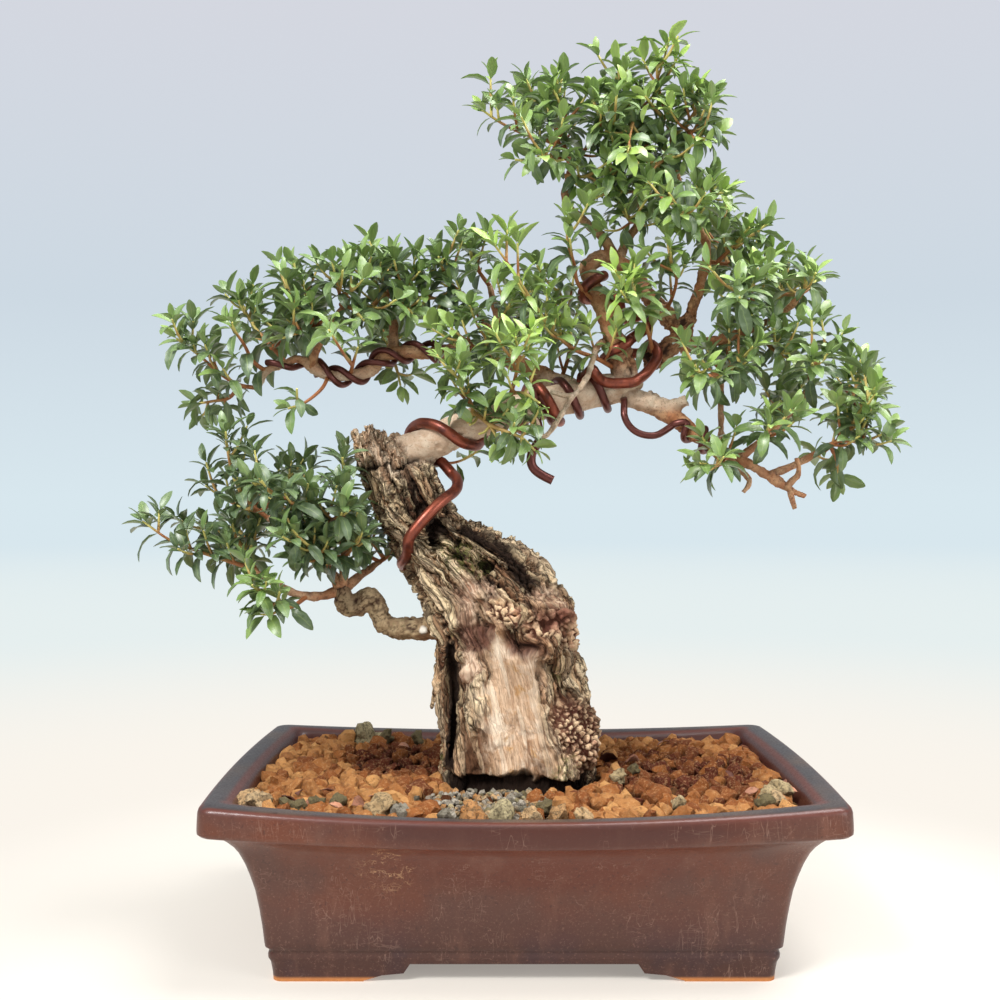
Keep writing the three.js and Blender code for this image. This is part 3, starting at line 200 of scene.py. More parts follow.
# Limbs: x, y, z and radius along each, from the thick end
LIMBS = {
    "first_branch": [
        (-60, 4, 200, 10), (-52, 2, 205, 8.8), (-40, -2, 210, 7.6), (-22, -5, 218, 7.2),
        (-1, -4, 225, 7), (17, -2, 229, 7), (34, 0, 233, 7), (46, 1, 236, 6), (51, 2, 239, 4.6),
    ],
    "twisted_arch": [
        (45, 0, 236, 6.5), (44, 0, 247, 5.9), (40, -1, 257, 5.2), (37, -2, 267, 4.6),
        (32, -3, 276, 4.1), (29, -1, 286, 3.8), (34, 1, 291, 3.8), (41, 2, 290, 3.7),
        (48, 3, 285, 3.7), (53, 4, 279, 3.7), (58, 5, 273, 3.8), (65, 6, 266, 4), (72, 6, 258, 4.2),
    ],
    "bridge": [(55, 3, 245, 5), (64, 5, 252, 4.4), (73, 6, 260, 3.8)],
    "cut_stub": [(44, 0, 232, 5), (54, -1, 228, 4.2), (64, -2, 226, 3.4), (72, -3, 229, 3)],
    "lower_right": [
        (54, 1, 229, 4.6), (64, -2, 223, 4), (76, -6, 213, 3.2), (85, -8, 207, 2.9),
        (93, -10, 203, 2.6), (105, -12, 196, 2.1), (114, -14, 190, 1.8), (120, -15, 187, 1.4),
    ],
    "upper_right": [
        (70, 6, 254, 3.8), (84, 8, 255, 2.7), (98, 8, 260, 2.2), (108, 6, 264, 1.9),
        (115, 4, 268, 1.7), (120, 2, 273, 1.4),
    ],
    "right_leader": [
        (71, 6, 257, 4.2), (75, 6, 269, 2.9), (79, 7, 281, 2.4), (82, 8, 297, 2.1), (78, 8, 306, 1.9),
        (71, 7, 318, 1.7), (68, 5, 330, 1.6), (66, 3, 343, 1.4), (60, 0, 363, 1.1),
    ],
    "left_leader": [
        (41, 2, 289, 3.3), (38, 1, 296, 2.5), (33, 0, 302, 2.1), (22, -2, 311, 1.9),
        (19, -2, 316, 1.8), (20, -1, 324, 1.6), (22, 0, 332, 1.4), (19, 0, 338, 1.2),
    ],
    "middle_leader": [
        (42, 3, 289, 2.6), (46, 6, 299, 1.9), (51, 9, 307, 1.7), (55, 14, 328, 1.5),
        (56, 12, 341, 1.3), (53, 8, 353, 1.1),
    ],
    "left_branch": [
        (30, 4, 232, 5.4), (17, 10, 237, 4.6), (4, 16, 244, 4), (-12, 20, 251, 3.6),
        (-25, 18, 253, 3.3), (-43, 12, 251, 3), (-51, 10, 251, 2.9), (-60, 8, 249, 2.8),
        (-66, 6, 243, 2.7), (-75, 4, 240, 2.6), (-84, 2, 240, 2.5), (-92, 1, 244, 2.4),
        (-97, 0, 247, 2.2), (-104, -2, 244, 2), (-111, -3, 241, 1.8), (-114, -4, 234, 1.5),
    ],
    "left_twig_a": [(-91, 1, 243, 2.2), (-90, 0, 250, 2), (-86, -2, 256, 1.8), (-77, -4, 269, 1.2)],
    "left_twig_b": [(-56.5, 9, 249, 2.4), (-56.5, 12, 260, 2.1), (-56, 16, 275, 1.3)],
    "left_twig_c": [(-12.5, 20, 251, 2.1), (-16, 22, 266, 1.9), (-27, 22, 279, 1.3)],
    "left_twig_d": [(-8, 21, 250, 2), (-10, 26, 265, 1.8), (-14, 32, 284, 1.2)],
    "front_twig": [(-15, -5, 221, 2.2), (-12, -18, 224, 1.8), (-5, -27, 229, 1.3)],
    "right_fan": [
        (93, -10, 204, 1.9), (103, -8, 211, 1.7), (112, -6, 220, 1.5), (120, -4, 228, 1.3),
        (125, -4, 235, 1.1),
    ],
    "right_far": [(105, -12, 196, 1.8), (117, -10, 201, 1.6), (127, -8, 206, 1.4), (136, -6, 211, 1.1)],
    "right_inner": [(86, -8, 206, 1.7), (86, -4, 219, 1.4), (87, 0, 239, 1.1)],
    "bare_twig_a": [(88, -9, 206, 1.6), (91, -12, 200, 1.3), (96, -16, 194, 1.2), (93, -18, 189, 0.9)],
    "bare_twig_b": [(114, -14, 190, 1.4), (114, -16, 186, 1.1), (115, -17, 182, 0.9)],
    "bare_twig_c": [(112, -14, 191, 1.5), (116, -18, 197, 1.3), (115, -20, 203, 0.9)],
    "dead_twig": [
        (35, -5, 254, 1.5), (31, -14, 249, 1.3), (27.6, -18, 238, 1.2), (21, -20, 229.5, 1.1),
        (12, -19, 231, 0.8),
    ],
    "dead_fork": [
        (21, -20, 229.5, 1.3), (18, -21, 224, 1.2), (9, -21, 212, 1.1), (5, -22, 220, 1.1),
        (0, -22, 222.6, 1), (-6, -23, 217, 0.9), (-8, -23, 213, 0.6),
    ],
    "low_left": [
        (-32, -4, 130, 5.6), (-47, -8, 131, 5), (-55, -8, 131, 4.8), (-60, -8, 134, 4.6),
        (-62, -8, 141, 4.6), (-66, -8, 144, 4.7), (-71, -9, 140, 4.7), (-75, -9, 141, 4.5),
        (-78, -9, 149, 4),
    ],
    "fan_left": [
        (-78, -9, 147, 2.6), (-84, -10, 145, 2.1), (-93, -13, 145, 1.8), (-110, -17, 154, 1.4),
        (-117, -18, 158, 1.1),
    ],
    "fan_up": [(-78, -9, 148, 2.4), (-82, -8, 155, 1.9), (-99, -10, 172, 1.5), (-108, -12, 178, 1.1)],
    "fan_vertical": [(-77, -9, 148, 2.4), (-76, -8, 160, 1.8), (-77, -8, 181, 1.4), (-76, -9, 186, 1.1)],
    "fan_right": [(-78, -9, 146, 2.4), (-71, -2, 152, 2), (-63, 8, 158, 1.2)],
    "fan_back": [(-78, -8, 148, 2.3), (-84, 12, 154, 1.8), (-92, 28, 159, 1.2)],
}
THICK_LIMBS = [
    "twisted_arch", "bridge", "cut_stub", "lower_right", "upper_right",
    "right_leader", "left_branch", "low_left",
]

# White end of a pruned shoot on the low left branch
PRUNED_END = (-42, -12.6, 130.5)

# Training wires: routes listed, with the turns round a limb worked out after them

HEAVY_WIRE_ROUTE = [
    (-46, 22, 150), (-54, 14, 153), (-56, 0, 157), (-54, -14, 161), (-50, -22, 166), (-45, -23, 173),
    (-39, -22, 180), (-33, -18, 186), (-28, -12, 190), (-28, -4, 195), (-34, 6, 199), (-43, 14, 204),
    (-48, 13, 209), (-49.5, 8, 213.5), (-46, 0.5, 218), (-41, -7, 218.3), (-35.5, -11.2, 217),
    (-30, -13.6, 213.5), (-25.4, -12, 209.8), (-21.5, -10, 208), (-19.5, -6, 208.8), (-18, 0, 211),
]
CROWN_WIRE_ROUTE = [
    (24, -8, 241), (30, -11, 240.5), (36, -12.5, 237.5), (43, -13, 235.6), (50, -12, 236.4),
    (55.5, -9.5, 240), (58.5, -5, 246), (58, 4, 251), (52, 10, 253), (44, 10, 250), (37, 6, 247.5),
    (35.5, -3, 247), (38.5, -9.5, 249), (44, -11, 252), (50, -9.5, 256), (54, -5, 260), (54, 3, 263),
    (49, 9, 265),
]
LOOP_WIRE_ROUTE = [
    (43, -10, 228), (44, -11, 220), (48, -11, 215), (54, -11, 213), (60, -10, 214), (65, -10, 218),
]
CUT_WIRE_ROUTE = [
    (5, -4, 235.9), (5, -8, 234.8), (5, -12, 230.5), (6, -13, 225), (7, -13.5, 219),
    (6, -14, 212), (4, -14, 205), (4, -14, 200), (8, -14, 196.5), (13, -14, 194),
]
WRAP_CLEARANCE = 0.5
WRAP_POINTS_PER_TURN = 8
THICK_WIRE = 2.2

# Wires: listed route, limb wrapped, from, to, turns, start angle, radius
WIRES = {
    "heavy_wire": (HEAVY_WIRE_ROUTE, "first_branch", 0.42, 0.68, 1.8, 4.42, 2.4),
    "crown_wire": (CROWN_WIRE_ROUTE, "twisted_arch", 0.32, 0.44, 1.2, 5.6, 2.3),
    "loop_wire": (LOOP_WIRE_ROUTE, "lower_right", 0.27, 0.45, 1.7, 1.0, 1.5),
    "cut_wire": (CUT_WIRE_ROUTE, None, 0, 0, 0, 0, 2),
    "crown_wrap": ([], "first_branch", 0.62, 0.86, 2.3, 1.2, 1.8),
    "left_wire_a": ([], "left_branch", 0.28, 0.804, 3.8, 3.7, 1.4),
    "left_wire_b": ([], "left_branch", 0.332, 0.939, 4.4, 3.7, 1.4),
}

# Leafy sprays of each group, numbered from 1: each a main shoot from the wood, then the shoots on it

SPRAYS = {
    "crown": [
        [[(19, 0, 338), (11, -3, 341), (4, -6, 342), (-6, -10, 345), (-12, -12, 348), (-17, -14, 351)],
         [(15, -2, 340), (19, -5, 350), (17, -6, 358), (15, -8, 366)]],
        [[(21, -1, 330), (18, 8, 345), (11, 14, 359), (3, 18, 371)],
         [(20, 3, 335), (14, -6, 333), (10, -20, 330), (8, -30, 327)],
         [(20, 3, 334), (28, -6, 337), (34, -12, 343), (37, -15, 352)],
         [(19, -2, 326), (28, -10, 324), (36, -16, 328)]],
        [[(53, 8, 353), (48, 4, 357), (43, -2, 361), (42, -6, 366), (41, -8, 373)],
         [(48, 4, 357), (48, -6, 350), (45, -20, 338), (43, -32, 328)],
         [(54, 9, 350), (50, -4, 344), (42, -14, 343), (34, -20, 347)],
         [(56, 12, 341), (51, 0, 334), (44, -8, 330), (37, -12, 322)]],
        [[(60, 0, 361), (59, -4, 365), (58, -8, 369), (58, -10, 375)],
         [(63, 2, 352), (58, -8, 352), (52, -16, 356)]],
        [[(66, 3, 344), (70, -4, 347), (74, -10, 352), (75, -14, 359)],
         [(70, -4, 347), (73, -14, 339), (76, -22, 336)],
         [(67, 4, 338), (62, -8, 332), (56, -16, 326), (52, -20, 318)]],
        [[(54, 14, 320), (60, 30, 328), (64, 46, 337), (66, 56, 348)],
         [(54, 13, 324), (47, 2, 320), (39, -6, 318), (30, -10, 314)],
         [(52, 10, 311), (47, -2, 306), (44, -10, 310)]],
        [[(77, 7, 306), (72, -10, 305), (65, -26, 306), (59, -38, 310)]],
        [[(72, 7, 317), (78, 0, 317), (82, -8, 316), (85, -14, 316)],
         [(73, 7, 315), (66, -4, 310), (60, -12, 306)]],
        [[(81, 8, 291), (90, 14, 291), (101, 20, 292), (112, 24, 296)],
         [(87, 12, 291), (93, 4, 297), (98, -6, 303)],
         [(93, 16, 291), (93, 32, 302), (95, 46, 312), (98, 56, 322)]],
        [[(57, -1, 250), (54, -10, 257), (50, -16, 265), (46, -22, 270), (44, -28, 277)]],
        [[(63, 5, 268), (65, -4, 273), (66, -10, 280), (63, -16, 286), (62, -22, 291)]],
        [[(31, -4, 272), (24, -10, 278), (22, -14, 286), (19, -18, 295), (19, -20, 304)]],
        [[(120, 2, 273), (122, -4, 276), (123, -8, 283)],
         [(121, -1, 275), (119, 18, 278), (121, 36, 284), (123, 46, 291)]],
        [[(98, 8, 260), (99, 0, 268), (99, -8, 276), (100, -14, 284)],
         [(99, 1, 267), (93, -14, 268), (90, -26, 270), (88, -36, 274)]],
    ],
    "right": [
        [[(125, -4, 235), (125, -2, 243), (132, 0, 250), (141, 2, 259)],
         [(125, -3, 239), (122, -16, 240), (120, -28, 244)]],
        [[(136, -6, 211), (142, -2, 225), (146, 0, 238), (148, 2, 247)],
         [(142, -2, 225), (149, 14, 228), (154, 28, 233), (157, 38, 240)]],
        [[(130, -7, 207), (137, -13, 213), (142, -18, 223), (147, -22, 233)],
         [(135, -11, 211), (146, -12, 211), (156, -12, 215)],
         [(132, -9, 209), (136, -4, 202), (138, 4, 194)]],
        [[(103, -8, 211), (101, -24, 212), (99, -40, 216)]],
        [[(87, -8, 206), (84, -18, 201), (79, -24, 200), (73, -30, 201)]],
        [[(87, 0, 239), (89, -10, 242), (92, -20, 245), (95, -28, 249)],
         [(88, -6, 241), (81, -22, 238), (74, -34, 237), (69, -42, 238)],
         [(87, -2, 240), (94, 14, 245), (101, 34, 252), (107, 48, 259)]],
        [[(112, -6, 220), (118, 14, 227), (124, 32, 234), (131, 46, 242)]],
        [[(104, 7, 262), (108, 2, 253), (111, -6, 249), (114, -11, 248)]],
    ],
    "left": [
        [[(-114, -4, 234), (-121, -7, 235), (-128, -9, 239), (-137, -12, 247), (-146, -16, 254)],
         [(-121, -7, 235), (-128, 2, 230), (-136, 6, 229), (-145, 10, 228)]],
        [[(-110, -3, 241), (-115, -8, 245), (-118, -14, 252), (-124, -20, 261)]],
        [[(-102, -1, 245), (-112, 4, 256), (-119, 8, 264), (-124, 10, 274)],
         [(-109, 2, 252), (-107, 18, 257), (-103, 34, 264), (-99, 46, 271)]],
        [[(-86, -2, 256), (-93, -7, 264), (-98, -10, 272), (-101, -14, 281)],
         [(-93, -7, 264), (-93, 4, 272), (-96, 12, 278), (-98, 16, 285)],
         [(-89, -4, 260), (-84, -12, 262), (-80, -18, 258)],
         [(-88, -3, 259), (-95, -10, 257), (-101, -16, 254)]],
        [[(-77, -4, 269), (-78, -8, 274), (-79, -12, 279), (-80, -16, 286)],
         [(-78, -5, 270), (-72, -10, 267), (-67, -14, 262)],
         [(-78, -7, 273), (-72, -12, 275), (-67, -15, 279)]],
        [[(-56, 16, 275), (-62, 8, 279), (-67, 2, 285), (-69, -2, 292)],
         [(-58, 13, 276), (-60, 20, 283), (-60, 24, 289), (-59, 28, 295)],
         [(-60, 11, 277), (-64, 2, 272), (-67, -6, 266)],
         [(-57, 14, 276), (-51, 4, 271), (-47, -6, 266)],
         [(-57, 14, 277), (-50, 6, 280), (-44, 0, 285)]],
        [[(-84, 2, 240), (-86, -8, 233), (-92, -14, 227), (-98, -20, 224)]],
        [[(-75, 4, 240), (-72, -8, 245), (-69, -18, 250)],
         [(-73, -6, 244), (-74, -22, 246), (-76, -34, 250), (-78, -42, 254)]],
        [[(-58, 8, 249), (-60, 26, 257), (-60, 42, 265), (-60, 56, 274)],
         [(-59, 18, 253), (-56, 20, 245), (-54, 18, 237)]],
        [[(-27, 22, 279), (-31, 14, 282), (-34, 6, 286), (-36, -2, 291)],
         [(-29, 19, 280), (-38, 10, 275), (-45, 2, 274)],
         [(-28, 21, 279), (-24, 10, 274), (-22, 2, 270)]],
    ],
    "centre": [
        [[(40, -1, 243), (31, -14, 246), (22, -18, 249), (13, -22, 256), (4, -27, 268), (-5, -32, 281),
          (-12, -36, 290)]],
        [[(-12, 20, 250), (-19, 0, 251), (-24, -10, 254), (-30, -18, 258)],
         [(-18, 2, 251), (-14, -8, 257), (-8, -14, 264), (-4, -18, 270)]],
        [[(-5, -27, 229), (-3, -32, 236), (-2, -38, 243), (-3, -44, 251)],
         [(-5, -28, 230), (1, -34, 229), (7, -36, 225)]],
        [[(-22, -5, 218), (-21, -22, 225), (-25, -30, 233), (-30, -37, 240)],
         [(-21, -18, 223), (-14, -24, 217), (-9, -26, 209)],
         [(-14, -24, 217), (-7, -29, 214), (0, -31, 211), (5, -32, 206)]],
        [[(-40, -2, 206), (-33, 8, 202), (-27, 12, 203), (-22, 16, 206)]],
        [[(-10, 26, 265), (-3, 31, 272), (3, 34, 279), (8, 37, 287)],
         [(-6, 29, 269), (2, 42, 268), (10, 52, 270), (18, 58, 274)]],
        [[(17, 10, 237), (21, 14, 249), (22, 14, 261), (19, 8, 272), (15, 4, 282)]],
        [[(-14, 32, 284), (-18, 30, 289), (-22, 26, 295), (-23, 22, 303)]],
    ],
    "low": [
        [[(-117, -18, 158), (-126, -19, 161), (-135, -20, 164), (-147, -22, 169), (-158, -24, 177)]],
        [[(-108, -12, 178), (-117, -14, 186), (-122, -16, 196), (-125, -18, 213)],
         [(-112, -13, 181), (-122, -2, 183), (-131, 3, 187), (-139, 7, 192)],
         [(-111, -12, 181), (-106, 0, 187), (-103, 8, 194), (-102, 12, 203)]],
        [[(-77, -8, 174), (-83, -22, 178), (-95, -32, 185), (-109, -42, 194)],
         [(-81, -18, 177), (-76, -30, 179), (-72, -40, 184)],
         [(-79, -14, 175), (-86, -22, 170), (-92, -28, 172)]],
        [[(-76, -9, 186), (-76, -10, 192), (-76, -11, 198), (-76, -12, 205)]],
        [[(-111, -17, 154), (-119, -11, 165), (-128, -10, 171), (-136, -8, 176)],
         [(-118, -12, 164), (-120, 4, 166), (-125, 20, 170), (-131, 34, 174)]],
        [[(-91, -12, 145), (-97, -26, 141), (-103, -36, 144), (-108, -46, 152)]],
        [[(-76, -8, 161), (-82, -24, 163), (-88, -36, 168), (-92, -47, 174)],
         [(-76, -8, 161), (-72, -16, 165), (-68, -22, 171)],
         [(-78, -14, 162), (-86, -16, 160), (-95, -18, 163)]],
        [[(-63, 8, 158), (-59, 12, 161), (-57, 16, 167), (-57, 18, 174)],
         [(-62, 9, 158), (-68, 4, 162), (-73, -2, 168)],
         [(-61, 11, 160), (-66, 8, 168), (-70, 4, 178)]],
        [[(-92, 28, 159), (-98, 38, 165), (-104, 48, 174), (-109, 54, 183)],
         [(-95, 33, 162), (-88, 44, 165), (-82, 52, 170), (-79, 57, 177)]],
    ],
}

# How far the leaves of each group of sprays have darkened already at the tips, from 0 to 1: partly
# ripeness, partly painted shade, lightest in the crown where the light falls most and darkest in the low
# sprays
RIPENESS_AND_SHADE = {"crown": 0, "centre": 0.02, "right": 0.08, "left": 0.15, "low": 0.48}
YOUTH = 0.3
FIRST_SPRAY_SEED = 500
YOUNG_SPRAYS = [
    "crown_spray_04", "crown_spray_10", "centre_spray_01", "centre_spray_03", "low_spray_06",
]


# Clear stretches where wood and wires show: least and greatest x, then least and greatest height
CLEAR_STRETCHES = [
    (-97, -43, 226, 249), (12, 60, 205, 226), (-46, -16, 196, 219), (6, 48, 224, 244),
    (-66, -56, 120, 150),
]

# Least angles in degrees at which an edge stays sharp
POT_SHARP = 40
GRAIN_SHARP = 45
WIRE_SHARP = 50
LEAF_SHARP = 65

# Camera: place in millimetres, pitch in degrees, lens and sensor in millimetres
CAMERA_PLACE = (-9.3, -546, 187)
CAMERA_PITCH = 89.86
CAMERA_LENS = 45.2
CAMERA_SENSOR = 36

# Soft lights: place in metres, width in metres and share of the key light's power
LIGHTS = {
    "key_light": ((-0.75, -0.95, 1.25), 0.55, 1),
    "top_light": ((0.35, -0.1, 1.05), 0.7, 0.5),
    "side_light": ((1.1, -0.8, 0.6), 0.8, 0.25),
}
LIGHT_TARGET = (0, 0, 0.18)
FLOOR_RADIUS = 9


# Objects and meshes

def deselect():
    bpy.ops.object.select_all(action="DESELECT")


def choose(*pieces):
    """Selects only these pieces, with the first one active."""
    deselect()
    for piece in pieces:
        piece.select_set(True)
    bpy.context.view_layer.objects.active = pieces[0]


def join(*pieces):
    """Joins the pieces into the first."""
    choose(*pieces)
    bpy.ops.object.join()
    return pieces[0]


def apply_modifiers(piece):
    choose(piece)
    for modifier in list(piece.modifiers):
        bpy.ops.object.modifier_apply(modifier=modifier.name)


def add_object(name, data):
    """An object of a mesh, curve, light or camera, at the origin."""
    made = bpy.data.objects.new(name, data)
    bpy.context.collection.objects.link(made)
    return made


def read_points(piece, field="co"):
    values = np.empty(len(piece.data.vertices) * 3)
    piece.data.vertices.foreach_get(field, values)
    return values.reshape(-1, 3)


def write_points(piece, points):
    piece.data.vertices.foreach_set("co", np.asarray(points, np.float32).ravel())
    piece.data.update()


def read_normals(piece):
    return read_points(piece, "normal")


def store(piece, **attributes):
    """Keeps a number, or a place, for each point under each name, for the material to read."""
    for name, values in attributes.items():
        values = np.asarray(values, np.float32)
        kind, field = ("FLOAT", "value") if values.ndim == 1 else ("FLOAT_VECTOR", "vector")
        attribute = piece.data.attributes.new(name, kind, "POINT")
        attribute.data.foreach_set(field, values.ravel())


def mend_normals(piece, merge=0.0):
    """Merges doubled points, if asked, and turns every face outwards."""
    choose(piece)
    bpy.ops.object.mode_set(mode="EDIT")
    bpy.ops.mesh.select_all(action="SELECT")
    if merge > 0:
        bpy.ops.mesh.remove_doubles(threshold=merge)
    bpy.ops.mesh.normals_make_consistent(inside=False)
    bpy.ops.object.mode_set(mode="OBJECT")


def shade(piece, angle=None):
    choose(piece)
    if angle is None:
        bpy.ops.object.shade_smooth()
    else:
        bpy.ops.object.shade_smooth_by_angle(angle=math.radians(angle))


def dress(piece, nodes, material=None):
    """Gives a finished piece its material, its body and the nodes that it stands for."""
    if material:
        piece.data.materials.clear()
        piece.data.materials.append(material)
    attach(piece, "root")
    if nodes:
        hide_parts(*nodes)


def ring_stack(name, rings):
    """A closed skin through rings of points in millimetres: a circle's face extruded, ring by ring."""
    rings = np.asarray(rings, float)
    count = rings.shape[1]
    deselect()
    bpy.ops.mesh.primitive_circle_add(vertices=count, radius=1, fill_type="NGON")
    piece = bpy.context.object
    piece.name = name
    bpy.ops.object.mode_set(mode="EDIT")
    bpy.ops.mesh.select_all(action="SELECT")
    for _ in rings[1:]:
        bpy.ops.mesh.extrude_region_move(TRANSFORM_OT_translate={"value": (0, 0, 1)})
    bpy.ops.object.mode_set(mode="OBJECT")
    places = read_points(piece)
    level = np.rint(places[:, 2]).astype(int)
    angle = np.arctan2(places[:, 1], places[:, 0])
    step = np.rint((angle - angle[0]) / (2 * math.pi / count)).astype(int) % count
    write_points(piece, rings[level, step] * MM)
    mend_normals(piece)
    return piece


def prism(name, outline, low, high):
    """A straight block of an outline of x and y, from one height up to another, in millimetres."""
    return ring_stack(name, [[(*spot, height) for spot in outline] for height in (low, high)])


def cut(piece, cutter):
    """Cuts the cutter out of the piece and removes the cutter."""
    modifier = piece.modifiers.new("cut", "BOOLEAN")
    modifier.operation = "DIFFERENCE"
    modifier.solver = "EXACT"
    modifier.object = cutter
    apply_modifiers(piece)
    bpy.data.objects.remove(cutter)


def block(x, y, z, width, depth, height):
    """A block in millimetres, by its middle and size."""
    deselect()
    bpy.ops.mesh.primitive_cube_add(size=1)
    piece = bpy.context.object
    write_points(piece, (read_points(piece) * (width, depth, height) + (x, y, z)) * MM)
    return piece


def ball(x, y, z, radius, stretch=(1, 1, 1), finer=3):
    """A ball in millimetres."""
    deselect()
    bpy.ops.mesh.primitive_ico_sphere_add(subdivisions=finer, radius=1)
    piece = bpy.context.object
    write_points(piece, (read_points(piece) * radius * np.array(stretch) + (x, y, z)) * MM)
    return piece


# Routes

UP = np.array([0, 0, 1.0])
FRONT = np.array([0, -1.0, 0])


def unit(vector):
    return vector / np.linalg.norm(vector)


def between(low, high, place, first, last):
    """From first, where the place is low, straight to last, where it is high."""
    return (high - place) / (high - low) * first + (place - low) / (high - low) * last


def smooth_route(points, step):
    """A centripetal curve through points, as evenly spaced points about one step apart."""
    points = np.asarray(points, float)
    before = 2 * points[0] - points[1]
    after = 2 * points[-1] - points[-2]
    padded = np.vstack([before, points, after])
    fine = []
    for index in range(len(points) - 1):
        a, b, c, d = padded[index:index + 4]
        spans = [max(np.linalg.norm(span[:3]), 1e-6) ** 0.5 for span in (b - a, c - b, d - c)]
        at_a, at_b, at_c, at_d = np.cumsum([0, *spans])
        place = np.linspace(at_b, at_c, 12, endpoint=False)[:, None]
        ab = between(at_a, at_b, place, a, b)
        bc = between(at_b, at_c, place, b, c)
        cd = between(at_c, at_d, place, c, d)
        abc = between(at_a, at_c, place, ab, bc)
        bcd = between(at_b, at_d, place, bc, cd)
        fine.append(between(at_b, at_c, place, abc, bcd))
    fine = np.vstack(fine + [points[-1:]])
    reach = np.r_[0, np.cumsum(np.linalg.norm(np.diff(fine[:, :3], axis=0), axis=1))]
    stops = np.linspace(0, reach[-1], max(3, round(reach[-1] / step) + 1))
    return np.column_stack([np.interp(stops, reach, fine[:, axis]) for axis in range(fine.shape[1])])


def tangents_of(points):
    ahead = np.vstack([points[1:], points[-1:]])
    behind = np.vstack([points[:1], points[:-1]])
    along = ahead - behind
    return along / np.linalg.norm(along, axis=1)[:, None]


def sides_of(tangents):
    """Side vectors carried along a route without twist."""
    side = UP if abs(tangents[0][2]) < 0.9 else FRONT
    sides = []
    for tangent in tangents:
        side = unit(side - tangent * (side @ tangent))
        sides.append(side)
    return np.array(sides)


def limb_at(limb, share):
    """The point and radius at a share of a limb's length, along its straight spans."""
    limb = np.asarray(limb, float)
    spans = np.linalg.norm(np.diff(limb[:, :3], axis=0), axis=1)
    reach = np.r_[0, np.cumsum(spans)]
    return np.array([np.interp(share * reach[-1], reach, limb[:, axis]) for axis in range(4)])


def wrap_route(limb, start, end, turns, start_angle, wire_radius):
    """Turns of wire round a limb, between two shares of its length."""
    steps = round(WRAP_POINTS_PER_TURN * turns)
    shares = np.arange(steps + 1) / steps
    places = np.array([limb_at(limb, start + (end - start) * share) for share in shares])
    tangents = tangents_of(places[:, :3])
    sides = sides_of(tangents)
    angles = start_angle + 2 * math.pi * turns * shares
    reach = places[:, 3] + wire_radius + WRAP_CLEARANCE
    others = np.cross(tangents, sides)
    return (
        places[:, :3]
        + sides * (reach * np.cos(angles))[:, None]
        + others * (reach * np.sin(angles))[:, None]
    )


def round_tubes(name, routes, sides):
    """Round stems along routes of x, y, z and radius in millimetres, drawn as curves and then meshed."""
    curve = bpy.data.curves.new(name, "CURVE")
    curve.dimensions = "3D"
    curve.bevel_depth = MM
    curve.bevel_resolution = (sides - 4) // 2
    curve.use_fill_caps = True
    for route in routes:
        spline = curve.splines.new("POLY")
        spline.points.add(len(route) - 1)
        places = np.column_stack([route[:, :3] * MM, np.ones(len(route))])
        spline.points.foreach_set("co", places.astype(np.float32).ravel())
        spline.points.foreach_set("radius", route[:, 3].astype(np.float32))
    choose(add_object(name, curve))
    bpy.ops.object.convert(target="MESH")
    piece = bpy.context.object
    mend_normals(piece, merge=1e-6)
    return piece


# Repeatable noise, worked out for many points at once

def lattice(cells, seed):
    """A repeatable number from 0 to 1 for each whole-number cell."""
    mixed = (cells[..., 0] * 73856093) ^ (cells[..., 1] * 19349663) ^ (cells[..., 2] * 83492791)
    mixed = (mixed ^ (seed * 40503 + 977)) & 0xFFFFFFFF
    mixed = ((mixed ^ (mixed >> 15)) * 739981) & 0xFFFFFFFF
    mixed = ((mixed ^ (mixed >> 13)) * 1274126177) & 0xFFFFFFFF
    return ((mixed ^ (mixed >> 16)) & 0xFFFF) / 65535.0


def soft_noise(points, seed):
    """Smooth random values from 0 to 1 that change over a distance of 1."""
    base = np.floor(points).astype(np.int64)
    part = points - base
    part = part * part * (3 - 2 * part)
    total = np.zeros(len(points))
    for corner in np.ndindex(2, 2, 2):
        weight = np.prod(np.where(corner, part, 1 - part), axis=1)
        total += weight * lattice(base + np.array(corner), seed)
    return total


def rough_noise(points, seed, octaves=4):
    """Noise with finer and finer detail, from 0 to 1."""
    total = np.zeros(len(points))
    weight = 1.0
    whole = 0.0
    for octave in range(octaves):
        total += weight * soft_noise(points * 2 ** octave + 17.3 * octave, seed + octave)
        whole += weight
        weight *= 0.5
    return np.clip(0.5 + 1.9 * (total / whole - 0.5), 0, 1)


def ridges(values):
    """Sharp crests where noise passes its middle, from 0 in the valleys to 1 on the crests."""
    return 1 - np.abs(2 * values - 1)


def cell_bumps(points, seed):
    """How much further the second nearest scattered point is than the nearest, and a random number for
    the nearest one's cell."""
    base = np.floor(points).astype(np.int64)
    nearest = np.full(len(points), 9.0)
    second = np.full(len(points), 9.0)
    number = np.zeros(len(points))
    for corner in np.ndindex(3, 3, 3):
        cells = base + np.array(corner) - 1
        spot = cells + np.column_stack([lattice(cells, seed + axis) for axis in range(3)])
        distance = np.linalg.norm(points - spot, axis=1)
        closer = distance < nearest
        second = np.where(closer, nearest, np.minimum(second, distance))
        nearest = np.where(closer, distance, nearest)
        number = np.where(closer, lattice(cells, seed + 5), number)
    return second - nearest, number


def ease(values, low, high):
    """A smooth step from 0 at low to 1 at high."""
    share = np.clip((values - low) / (high - low), 0, 1)
    return share * share * (3 - 2 * share)


def patch(points, middle, reach):
    """1 at the middle of an oval patch and 0 at its edge, in millimetres."""
    offset = (points - np.array(middle)) / np.array(reach)
    return 1 - ease(np.linalg.norm(offset, axis=1), 0.55, 1.05)


def patches(points, places):
    """The strongest of several oval patches."""
    return np.maximum.reduce([patch(points, *place) for place in places])


def band(values, low, high, soft):
    """1 between low and high and 0 outside them, with soft edges."""
    return ease(values, low - soft, low + soft) * (1 - ease(values, high - soft, high + soft))


# Materials

